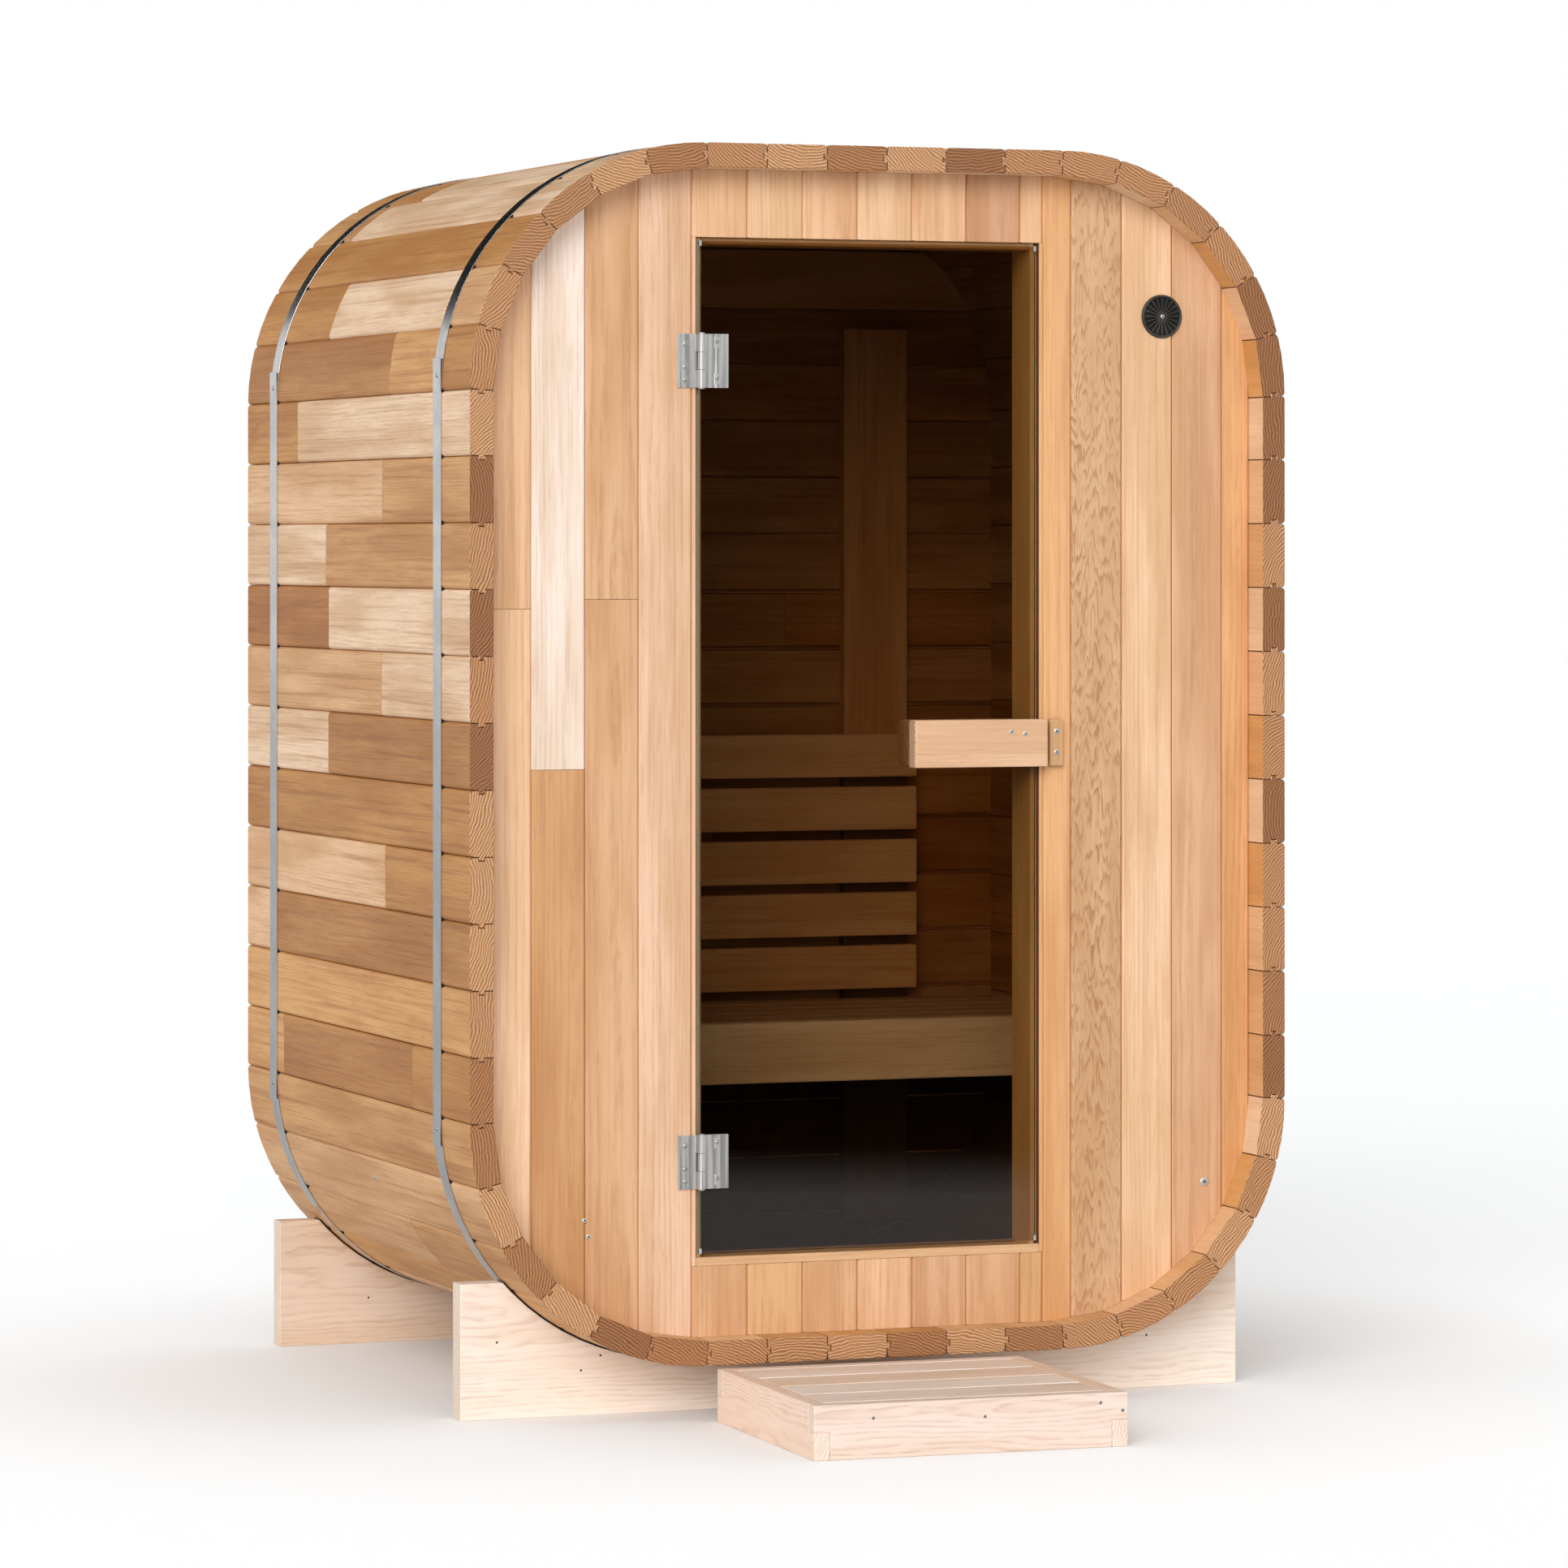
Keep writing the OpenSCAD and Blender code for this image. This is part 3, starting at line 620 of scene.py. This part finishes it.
def lengths(bm, along, joints, timbers, end, gap=0.4 * MM, edge=1.2 * MM, rounded=(), **more):
    """A board cut into butt-jointed lengths at the given places, each with its own timber.

    Only staves give rounded, the timbers whose cut corners are rounded. A stave also gets grooves,
    dark strips, eased ends and faces of their own for rim and room.
    """
    low, high = (c.dot(along) for c in extent(bm))
    places = [low - 10 * MM] + sorted(joints) + [high + 10 * MM]
    outward = broad_side(bm, along)
    if outward.dot(middle(bm) - ROOM) < 0:
        outward = -outward
    parts = []
    for i, timber in enumerate(timbers):
        first, last = i == 0, i == len(timbers) - 1
        start = places[i] + (0 if first else gap / 2)
        stop = places[i + 1] - (0 if last else gap / 2)
        part = length_of(bm, along, start, stop)
        if rounded:
            round_outside(part, along, outward)
            joint_strips(part, along, outward)
        if timber in rounded:
            for place in ([] if first else [start]) + ([] if last else [stop]):
                round_end(part, along, place, outward)
        if rounded:
            ease_ends(part, along)
            split(part, along, ROOM_FRONT)
            split(part, along, ROOM_BACK)
        else:
            ease(part, edge)
        parts.append(Board(part, along, timber, end, **more))
    bm.free()
    return parts


# -------- the shell of staves

SHORTEST_LENGTH = 200 * MM
# Left wall from the top row down: joints in metres from the front, timbers from front to back
LEFT_ROWS = [
    ((1.020,), (CREAM, BROWN)),
    ((0.494,), (TAWNY, STRAW)),
    ((0.840,), (TAWNY, CREAM)),
    ((0.824,), (CREAM, DARK)),
    ((0.503,), (CREAM, TAN)),
    ((0.824,), (UMBER, CREAM)),
    ((), (BROWN,)),
    ((0.480,), (BROWN, STRAW)),
    ((1.157,), (UMBER, STRAW)),
    ((), (HONEY,)),
    ((0.323, 1.109), (BROWN, UMBER, HONEY)),
]
# The same for the corners over and under it
TOP_LEFT_ROWS = [((0.61,), (TAN, STRAW)), ((0.95,), (CREAM, BROWN)), ((1.10,), (CREAM, TAWNY)),
                 ((), (BROWN,)), ((0.205, 0.875), (TAN, CREAM, BROWN)),
                 ((0.155, 0.460), (BROWN, HONEY, UMBER))]
BOTTOM_LEFT_ROWS = [((), (TAWNY,)), ((), (TAN,)), ((0.52,), (TAWNY, TAN)), ((), (HONEY,)),
                    ((0.7,), (TAN, STRAW)), ((), (TAN,))]


def any_rows(count, timbers_in=(CREAM, STRAW, TAN, BROWN, TAWNY, UMBER, CREAM, HONEY)):
    """Rows of lengths for a side that nothing fixes: up to two joints, timbers by chance."""
    rows = []
    for _ in range(count):
        joints = sorted(chance.uniform(0.25, 1.1) for _ in range(chance.choice((0, 1, 1, 2))))
        joints = [j for i, j in enumerate(joints) if i == 0 or j - joints[i - 1] > SHORTEST_LENGTH]
        timbers = [chance.choice(timbers_in) for _ in range(len(joints) + 1)]
        rows.append((joints, timbers))
    return rows


def shell_part(node, rows, order):
    """One side or corner of the shell; order sorts its staves to match the rows."""
    boards = []
    for stave, (joints, timbers) in zip(sorted(solids_of(node), key=order), rows):
        boards += lengths(stave, Y, [FRONT + j for j in joints], timbers, chance.choice(ENDS),
                          rounded=(CREAM, STRAW))
    join("shell_" + node, boards, STAVE_WOOD, "cabin", "stave_wood", node, indoors=True)


def downwards(bm):
    return -middle(bm).z


def to_the_right(bm):
    return middle(bm).x


shell_part("left_wall_staves", LEFT_ROWS, downwards)
shell_part("top_left_corner_staves", TOP_LEFT_ROWS, downwards)
shell_part("bottom_left_corner_staves", BOTTOM_LEFT_ROWS, downwards)
fair = (CREAM, STRAW, PEACH, HONEY, ROSE, TAN, TAWNY)
for place, count in (("right_wall", 11), ("top_right_corner", 6), ("bottom_right_corner", 6)):
    shell_part(place + "_staves", any_rows(count, fair), downwards)
for node in ("roof_staves", "floor_staves"):
    shell_part(node, any_rows(6), to_the_right)


# -------- walls

HEART_NEAR = (0.004, 0.05)                # the heart close behind a flat-sawn board


def uncut(*timbers):
    """Rows of boards without a joint."""
    return [((), (timber,)) for timber in timbers]


def wall_part(node, along, rows, order, flat=()):
    """Boards of a wall; those whose number is in flat are flat-sawn, in a piece of their own."""
    plain, figured = [], []
    for i, (solid, (joints, timbers)) in enumerate(zip(sorted(solids_of(node), key=order), rows)):
        heart = HEART_NEAR if i in flat else (chance.uniform(-0.06, 0.06),
                                              chance.uniform(0.06, 0.2))
        made = lengths(solid, along, joints, timbers, None, edge=0.8 * MM, heart=heart, out=-Y)
        (figured if i in flat else plain).extend(made)
    join("boards_" + node, plain, WALL_WOOD, "cabin", "wall_wood", node, indoors=True)
    if figured:
        join("flat_sawn_" + node, figured, FLAT_SAWN, "cabin", "wall_wood", indoors=True)


wall_part("front_wall_left", Z, [((1.377,), ("fad2ad", ROSE)), ((1.105,), ("d19d6c", PALE)),
                                 ((1.393,), (AMBER, AMBER)), ((), ("e9c09e",))], to_the_right)
wall_part("front_wall_right", Z, uncut(ORANGE, FAWN, PEACH, PINK, ORANGE), to_the_right, flat=(1,))
wall_part("front_wall_over_door", Z, uncut(ROSE, PEACH, ROSE, PEACH, ROSE, "cf9c76", ROSE),
          to_the_right)
wall_part("front_wall_under_door", Z, uncut(AMBER, TAN, AMBER, ROSE, PINK, AMBER, TAN),
          to_the_right)
# Back wall: 19 level boards, with up to one joint each
back_joints = [[chance.uniform(-0.5, 0.5)] if chance.random() < 0.6 else [] for _ in range(19)]
brown = (TAN, HONEY, BROWN, TAN, TAWNY)
wall_part("back_wall_boards", X,
          [(joints, [chance.choice(brown) for _ in range(len(joints) + 1)])
           for joints in back_joints], downwards)


# -------- plain timber pieces

def timber_piece(node, along, timber, material, body="cabin", edge=1.5 * MM, end=None,
                 painted_shade_below=None):
    """The node's boards in one timber, or each in its own from a list that follows them."""
    boards = []
    for i, solid in enumerate(solids_of(node)):
        ease(solid, edge)
        own = timber if isinstance(timber, str) else timber[i % len(timber)]
        # the part below the given height is split off for painted shade
        if painted_shade_below:
            split(solid, Z, painted_shade_below)
        boards.append(Board(solid, along, own, end))
    slot = "frame_wood" if material is FRAME_WOOD else "spruce"
    join("timber_" + node, boards, material, body, slot, node, painted_shade_below=painted_shade_below)


timber_piece("front_cradle", X, SPRUCE, SPRUCE_WOOD, end=SPRUCE_END)
# The back cradle is darker than the front one: painted shade from the shell over it
timber_piece("back_cradle", X, "e9cfb9", SPRUCE_WOOD, end=SPRUCE_END)


def jamb(node, edge, lip):
    """A jamb with its lip as pale as the wall beside it, and painted shade in the gap between lip
    and glass.
    """
    solid = solids_of(node)[0]
    split(solid, X, edge)
    ease(solid, 1.5 * MM)
    mesh = join("timber_" + node, [Board(solid, Z, "efc78d")], FRAME_WOOD, "cabin", "frame_wood",
                node).data
    shades = mesh.attributes["timber"].data
    for face in mesh.polygons:
        deep = face.center.y - WALL_FRONT
        if abs(face.normal.z) > 0.5 or abs(face.center.x) < abs(edge) or deep > 15 * MM:
            continue
        # the lip takes the wall's tone; the gap's faces behind it get painted shade, darkest facing
        # out
        if deep < 2 * MM:
            tone = lip
        else:
            tone = "4a2c17" if face.normal.y < -0.7 else "8a5631"
        for loop in face.loop_indices:
            shades[loop].color = (*colour(tone)[:3], 0.0)


jamb("door_jamb_left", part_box("door_glass")[0][0], "e9c09e")
jamb("door_jamb_right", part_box("door_glass")[1][0], ORANGE)
timber_piece("door_head", X, HONEY, FRAME_WOOD)
timber_piece("door_sill", X, "dcb084", FRAME_WOOD)
timber_piece("door_handle_outside", X, "e4b994", FRAME_WOOD, "door", edge=2 * MM)
timber_piece("door_handle_inside", X, "dcae80", FRAME_WOOD, "door", edge=3 * MM)
timber_piece("catch_block", Z, "cf9f70", FRAME_WOOD, edge=2 * MM)
# the uprights show only between the backrest's slats and under the bench, and are painted dark
# below the backrest's top, as the shade there
timber_piece("back_wall_uprights", Z, TAN, WALL_WOOD, painted_shade_below=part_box("backrest_slats")[1][2])
timber_piece("back_wall_header", X, TAN, WALL_WOOD)
for node, timber in (("bench_slats", "d2b390"), ("bench_fascia", "ffe8cf"),
                     ("backrest_slats", "edc499")):
    timber_piece(node, X, timber, WALL_WOOD, edge=2.5 * MM)
timber_piece("bench_bearers", Y, "d0a070", WALL_WOOD)
for node in ("step_front_board", "step_back_board"):
    timber_piece(node, X, "f3ddcf", SPRUCE_WOOD, edge=2 * MM, end="f0dccb")
timber_piece("step_slats", X, ("f7e6d8", "fbece0", "f2d8c2", "f9e7d9"), SPRUCE_WOOD, edge=2 * MM,
             end=SPRUCE_END)
for node in ("step_side_boards", "step_bearers"):
    timber_piece(node, Y, "f7dcc8", SPRUCE_WOOD, edge=2 * MM, end="f4dfcf")


# -------- steel, glass and plastic

def eased_copy(node, kind, material, body, slot, edge):
    """The node's own solids with their sharp edges rounded."""
    bm = bmesh.new()
    for solid in solids_of(node):
        ease(solid, edge, angle=35)
        add_to(bm, solid)
        solid.free()
    return finished(kind + node, as_mesh(kind + node, bm, material), body, slot, node)


for node in ("front_hoop", "back_hoop"):
    eased_copy(node, "steel_", HOOP_STEEL, "cabin", "hoop_steel", 0.4 * MM)


def hardware(name, body, slot, material, makers):
    """Small fittings joined in one piece; a second material paints shade into their recesses."""
    bm = bmesh.new()
    for make in makers:
        make(bm)
    finished(name, as_mesh(name, bm, material, VENT_BLACK), body, slot)


def fixings(name, makers, body="cabin"):
    hardware(name, body, "hinge_steel", SCREW_STEEL, makers)


def screws(places, out, radius, socket=4, head=0.9 * MM, recess=0.5):
    """Makers of screw heads, for hardware()."""
    return [lambda bm, p=Vector(p): screw(bm, p, out, radius, socket, head, recess) for p in places]


def countersunk(places, out, radius, socket=4):
    """Screws in a countersink, whose shade is painted as a dark ring round the head."""
    return (screws(places, out, radius * 1.35, 24, 0.25 * MM, 0.76)
            + screws(places, out, radius * 0.8, socket, 0.9 * MM))


def block(bm, place, size):
    """A block of a size in three directions, put in its place by a matrix."""
    return bmesh.ops.create_cube(bm, size=1.0, matrix=place @ Matrix.Diagonal((*size, 1)))


def plate(low, high, edge):
    """Maker of a block between two corners with rounded edges, for hardware()."""
    def make(bm):
        size = Vector(high) - Vector(low)
        made = block(bm, Matrix.Translation(Vector(low) + size / 2), size)
        bevel(bm, list({e for v in made["verts"] for e in v.link_edges}), edge, 2)
    return make


for side in ("upper", "lower"):
    for part, kind, body, edge in (("wall_leaf", "plate_", "cabin", 0.5 * MM),
                                   ("glass_leaf", "plate_", "door", 0.5 * MM),
                                   ("pin", "turned_", "cabin", 0.3 * MM)):
        node = side + "_hinge_" + part
        eased_copy(node, kind, HINGE_STEEL, body, "hinge_steel", edge)
for node in ("front_cradle_strip", "back_cradle_strip"):
    eased_copy(node, "rubber_", RUBBER, "cabin", "bearing_rubber", 0.3 * MM)

pane = eased_copy("door_glass", "pane_", GLASS, "door", "bronze_glass", 1.0 * MM)
pane.data.materials.append(GLASS_EDGE)
for face in pane.data.polygons:
    face.material_index = 0 if abs(face.normal.y) > 0.9 else 1


def middle_of(node):
    low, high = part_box(node)
    return (Vector(low) + Vector(high)) / 2


# Hinges: three screws in each wall leaf, two slotted screws in each glass leaf
for side in ("upper", "lower"):
    wall, glass = side + "_hinge_wall_leaf", side + "_hinge_glass_leaf"
    at = middle_of(wall)
    x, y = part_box(wall)[0][0] + 14 * MM, WALL_FRONT - 3 * MM
    fixings("screws_" + wall,
            countersunk([(x, y, at.z + d * MM) for d in (28, -11, -33)], -Y, 4.2 * MM))
    # the wall leaf reaches to the barrel between its two knuckles
    near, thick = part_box(glass)[0][0] - 0.25 * MM, 2 * MM
    proud = WALL_FRONT - 2.7 * MM
    hardware("web_" + wall, "cabin", "hinge_steel", HINGE_STEEL,
             [plate((near - 5.5 * MM, proud, at.z - 15 * MM), (near, proud + thick, at.z + 15 * MM),
                    0.3 * MM)])
    x = (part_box(glass)[1][0] + middle_of(side + "_hinge_pin").x + 8 * MM) / 2
    fittings = []
    for up in (31, -31):
        fittings.append(plate((x - 4.5 * MM, y - 1.6 * MM, at.z + (up - 9) * MM),
                              (x + 4.5 * MM, y + 1 * MM, at.z + (up + 9) * MM), 0.7 * MM))
        fittings += countersunk([(x, y - 1.6 * MM, at.z + (up + 2) * MM)], -Y, 3.4 * MM, 6)
    fittings.append(plate((x - 1 * MM, y - 0.7 * MM, at.z - 18 * MM),
                          (x + 1 * MM, y + 1 * MM, at.z + 18 * MM), 0.4 * MM))
    fixings("screws_" + glass, fittings, "door")

# Handle, catch, front wall and vent
low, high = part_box("door_handle_outside")
fixings("screws_door_handle", screws([(high[0] - left * MM, low[1], high[2] - down * MM)
                                      for left, down in ((70, 21), (44, 25))],
                                     -Y, 4 * MM, 6, recess=0.3), "door")
low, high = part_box("catch_block")
fixings("screws_catch",
        screws([(middle_of("catch_block").x, low[1], high[2] - down * MM) for down in (22, 58)],
               -Y, 5 * MM, 4, 1.6 * MM, 0.35))
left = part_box("front_wall_left")[0][0]
fixings("screws_front_wall", screws([(left + 180 * MM, WALL_FRONT, 0.3415),
                                     (left + 187 * MM, WALL_FRONT, 0.3138)], -Y, 4 * MM))
fixings("cap_front_wall", screws([(0.6213, WALL_FRONT, 0.3675)], -Y, 8 * MM, 20, 1.5 * MM, 0.3))
vent = middle_of("vent_cover")
fixings("screw_vent", screws([(vent.x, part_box("vent_cover")[0][1], vent.z)], -Y, 3.4 * MM))


def vent_grille():
    """Thin round flange, radial fins between it and a hub, a black disc under the fins that paints
    the shade of the openings, and the closed sleeve behind.
    """
    low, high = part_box("vent_cover")
    rim, proud, depth = (high[0] - low[0]) / 2, WALL_FRONT - low[1], high[1] - WALL_FRONT
    bm = bmesh.new()
    # section of the flange: how far in from its rim in mm, and how much of its height
    loop = [bm.verts.new((rim - inward * MM, 0, proud * height)) for inward, height in (
        (0, 0), (0, 0.5), (1.2, 0.9), (2.6, 1), (4.4, 0.8), (5, 0))]
    ring = [bm.edges.new((loop[i], loop[i - 1])) for i in range(len(loop))]
    bmesh.ops.spin(bm, geom=loop + ring, cent=(0, 0, 0), axis=(0, 0, 1), angle=2 * math.pi,
                   steps=64, use_merge=True, use_duplicate=False)
    fins = 20
    for i in range(fins):
        turn = Matrix.Rotation(radians(360 / fins * i), 4, "Z")
        block(bm, turn @ Matrix.Translation((20 * MM, 0, proud * 0.45)),
              (26 * MM, 2.3 * MM, proud * 0.8))

    def cone(segments, foot, top, tall, at):
        made = bmesh.ops.create_cone(bm, cap_ends=True, segments=segments, radius1=foot,
                                     radius2=top, depth=tall,
                                     matrix=Matrix.Translation((0, 0, at)))
        return made["verts"]

    cone(40, 9 * MM, 8 * MM, proud * 0.9, proud * 0.45)
    # a black disc under the fins: painted shade in the vent's openings
    for vert in cone(48, rim - 3 * MM, rim - 3 * MM, 0.3 * MM, 0.25 * MM):
        for face in vert.link_faces:
            face.material_index = 1
    cone(48, 29.4 * MM, 29.4 * MM, depth - 1 * MM, -(depth + 1 * MM) / 2)
    bmesh.ops.remove_doubles(bm, verts=bm.verts, dist=1e-6)
    bmesh.ops.recalc_face_normals(bm, faces=bm.faces)
    turn = (-Y).to_track_quat("Z", "Y").to_matrix().to_4x4()
    bmesh.ops.transform(bm, matrix=Matrix.Translation((vent.x, WALL_FRONT, vent.z)) @ turn,
                        verts=bm.verts)
    name = "grille_vent_cover"
    finished(name, as_mesh(name, bm, VENT_BLACK, RUBBER), "cabin", "vent_plastic", "vent_cover")


vent_grille()

# Cap that closes a hole in the lower left corner of the shell
TURN_X, TURN_Z = SIDE - CORNER_RADIUS, SHELL_LOW.z + CORNER_RADIUS   # where a corner's arc centres
slope = radians(20.4)
away = Vector((-math.cos(slope), 0, -math.sin(slope)))
cap = Vector((-TURN_X, 0, TURN_Z)) + away * (CORNER_RADIUS + 0.2 * MM)
hardware("cap_in_shell", "cabin", "vent_plastic", CLEAR_PAD,
         screws([(cap.x, FRONT + 0.6215, cap.z)], away, 7 * MM, 4, 1.2 * MM))

# Hoops: a lap with a rivet near both ends of each straight side
LAP, LAP_HALF, LAP_HEIGHTS = 0.6 * MM, 30 * MM, (1.773, 0.494)
for node in ("front_hoop", "back_hoop"):
    low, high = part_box(node)
    laps = []
    for x, sign in ((low[0], -1), (high[0], 1)):
        outer = x + sign * LAP
        for z in LAP_HEIGHTS:
            laps.append(plate((min(x, outer), low[1] + 0.5 * MM, z - LAP_HALF),
                              (max(x, outer), high[1] - 0.5 * MM, z + LAP_HALF), 0.2 * MM))
            laps += screws([(outer, (low[1] + high[1]) / 2, z)], X * sign, 4 * MM, 24, 1.2 * MM)
    hardware("laps_" + node, "cabin", "hoop_steel", HOOP_STEEL, laps)


def joints_round_shell():
    """Where two staves meet on the outside: a point and the direction that it faces."""
    places = []
    for node, axis, way in (("left_wall_staves", 2, -X), ("right_wall_staves", 2, X),
                            ("roof_staves", 0, Z), ("floor_staves", 0, -Z)):
        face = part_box(node)[0 if min(way) < 0 else 1]
        start, end = (TURN_Z, 2 * ROOM.z - TURN_Z) if axis == 2 else (-TURN_X, TURN_X)
        count = round((end - start) / STAVE_WIDTH)
        for i in range(count + 1):
            point = Vector((face[0], 0, face[2]))
            point[axis] = start + (end - start) * i / count
            places.append((point, way))
    for across in (-1, 1):
        for up in (-1, 1):
            centre = Vector((across * TURN_X, 0, ROOM.z + up * (ROOM.z - TURN_Z)))
            for i in range(1, 90 // CORNER_TURN):
                turn = radians(CORNER_TURN * i)
                way = Vector((across * math.cos(turn), 0, up * math.sin(turn)))
                places.append((centre + way * CORNER_RADIUS, way))
    return places


def groove_shadow_plugs(node):
    """Black blocks in every groove where it runs under a hoop, painted shade of the hollow under
    the hoop, seen as a dot at the hoop's edge.
    """
    hoop_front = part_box(node)[0][1]
    bm = bmesh.new()
    for point, way in joints_round_shell():
        turn = Matrix((Y.cross(way), Y, way)).transposed().to_4x4()
        at = Vector((point.x, hoop_front + 1.5 * MM, point.z)) - way * 1.5 * MM
        block(bm, Matrix.Translation(at) @ turn, (5.6 * MM, 10 * MM, 2.9 * MM))
    name = "groove_shadow_plug_" + node
    finished(name, as_mesh(name, bm, RUBBER), "cabin", "bearing_rubber")


groove_shadow_plugs("front_hoop")
groove_shadow_plugs("back_hoop")

# Small dark nails in the front of the cradles
CRADLE_NAILS = {"front_cradle": ((-0.656, 0.131), (-0.470, 0.101), (-0.505, 0.077), (0.548, 0.092)),
                "back_cradle": ((-0.550, 0.084),)}
for node, places in CRADLE_NAILS.items():
    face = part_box(node)[0][1]
    hardware("nails_" + node, "cabin", "spruce", VENT_BLACK,
             screws([(x, face, z) for x, z in places], -Y, 2 * MM, 12, 0.3 * MM))

# Step: four screws in its front board, so many mm along it and up from its lower left corner
board = solids_of("step_front_board")[0]
front = max((f for f in board.faces if f.normal.y < -0.9), key=lambda f: f.calc_area())
facing = front.normal.copy()
corner = min((v.co.copy() for v in front.verts), key=lambda c: c.x + c.z)
run = facing.cross(Z) * -1
board.free()
fixings("screws_step", screws([corner + run * d * MM + Z * (up * MM)
                               for d, up in ((74, 66), (268, 60), (471, 74), (510, 60))],
                              facing, 3.4 * MM, 6, 0.5 * MM))

# Clear bumpers on the corners of the glass
low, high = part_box("door_glass")
wide, tall = 2.5 * MM, 5 * MM
hardware("bumpers_door_glass", "door", "bronze_glass", CLEAR_PAD,
         [plate((x - wide, low[1] - 1 * MM, z - tall), (x + wide, low[1] + 6 * MM, z + tall),
                1.5 * MM)
          for x in (low[0] + wide, high[0] - wide) for z in (low[2] + tall, high[2] - tall)])


# -------- studio

def on_stage(name, mesh):
    """An object of the studio, which is no part of the sauna."""
    thing = linked(name, mesh)
    return thing


def dark_card(name, centre, towards, width, height, through_glass=False):
    """A dark card that shows only in reflections, so that glass and steel keep their depth.

    It thins out towards the floor. Rays that have passed through glass see it only if asked to.
    """
    turn = (Vector(towards) - Vector(centre)).to_track_quat("Z", "Y").to_matrix().to_4x4()
    bm = bmesh.new()
    place = Matrix.Translation(centre) @ turn @ Matrix.Diagonal((width, height, 1, 1))
    bmesh.ops.create_grid(bm, x_segments=1, y_segments=1, size=0.5, matrix=place)
    material, tree, shader = surface(name)
    card = on_stage(name, as_mesh(name, bm, material))
    for seen_by in ("camera", "diffuse", "volume_scatter", "shadow"):
        setattr(card, "visible_" + seen_by, False)
    card.visible_transmission = through_glass
    feed(tree, shader, Base_Color=(0.01, 0.01, 0.01, 1), Roughness=1.0, Specular_IOR_Level=0.0)
    height = xyz(tree, in_object(tree))[2]
    mix_shaders(tree, smooth(tree, height, -0.03, 0.12), added(tree, "BsdfTransparent"), shader)


def floor():
    """White paper that glows a little to the camera, less where something is close over it: a
    painted shadow.
    """
    bm = bmesh.new()
    bmesh.ops.create_grid(bm, x_segments=1, y_segments=1, size=60.0)
    material, tree, shader = surface("studio paper")
    on_stage("studio_floor", as_mesh("studio_floor", bm, material))
    shade = added(tree, "AmbientOcclusion", Distance=1.1)
    shade.samples = 8
    # the glow fades with occlusion, which paints the shadow round the sauna
    fill = math_node(tree, "POWER", shade.outputs["AO"], 1.5)
    seen = times(tree, fill, added(tree, "LightPath").outputs["Is Camera Ray"])
    feed(tree, shader, Base_Color=(0.845, 0.865, 0.88, 1), Roughness=0.9,
         Emission_Color=(1, 1, 1, 1), Emission_Strength=times(tree, seen, 0.40))


def air():
    """White surroundings: plain to the camera, glass and steel, weaker overhead as a light."""
    world = bpy.data.worlds.new("studio air")
    bpy.context.scene.world = world
    world.use_nodes = True
    tree = world.node_tree
    rays = added(tree, "LightPath").outputs
    plain = math_node(tree, "MAXIMUM", rays["Is Camera Ray"], rays["Is Transmission Ray"])
    plain = math_node(tree, "MAXIMUM", plain, rays["Is Glossy Ray"])
    plain = times(tree, plain, math_node(tree, "LESS_THAN", rays["Diffuse Depth"], 0.5))
    up = xyz(tree, added(tree, "TexCoord").outputs["Generated"])[2]
    level = added(tree, "Mix", Factor=plain)
    put(tree, level.inputs[2], smooth(tree, up, 0.34, 0.87, 0.95, 0.15))
    put(tree, level.inputs[3], 1.0)
    feed(tree, tree.nodes["Background"], Strength=level.outputs[0], Color=(1, 1, 1, 1))


def light_and_cards():
    """Soft light from the left of the camera, and what glass and steel reflect besides the air."""
    lamp = bpy.data.lights.new("window light", "SUN")
    lamp.energy = 1.9
    lamp.angle = radians(38)
    key = linked("window light", lamp)
    key.rotation_euler = Vector((-0.50, -0.75, 0.40)).to_track_quat("Z", "Y").to_euler()
    dark_card("card_before_door", (1.33, FRONT - 3.28, 1.24), (0.03, FRONT, 1.24), 1.15, 2.46,
              through_glass=True)
    dark_card("card_high_behind", (2.0, BACK + 8.5, 8.8), (2.0, BACK, 8.8), 24.0, 10.0)
    dark_card("card_right_behind", (6.9, BACK + 8.5, 2.4), (6.9, BACK, 2.4), 12.0, 4.6)


def camera():
    """The photographer's place, solved from the edges of the shell."""
    lens = bpy.data.cameras.new("studio camera")
    lens.lens = 148.7
    lens.sensor_width = 36.0
    lens.shift_y = -0.1535
    lens.clip_end = 200.0
    eye = linked("studio camera", lens)
    eye.location = (-4.076, FRONT - 10.320, 1.488)
    eye.rotation_euler = (radians(90), 0, radians(-20.64))
    bpy.context.scene.camera = eye


bpy.context.scene.view_settings.view_transform = "Standard"
floor()
air()
light_and_cards()
camera()
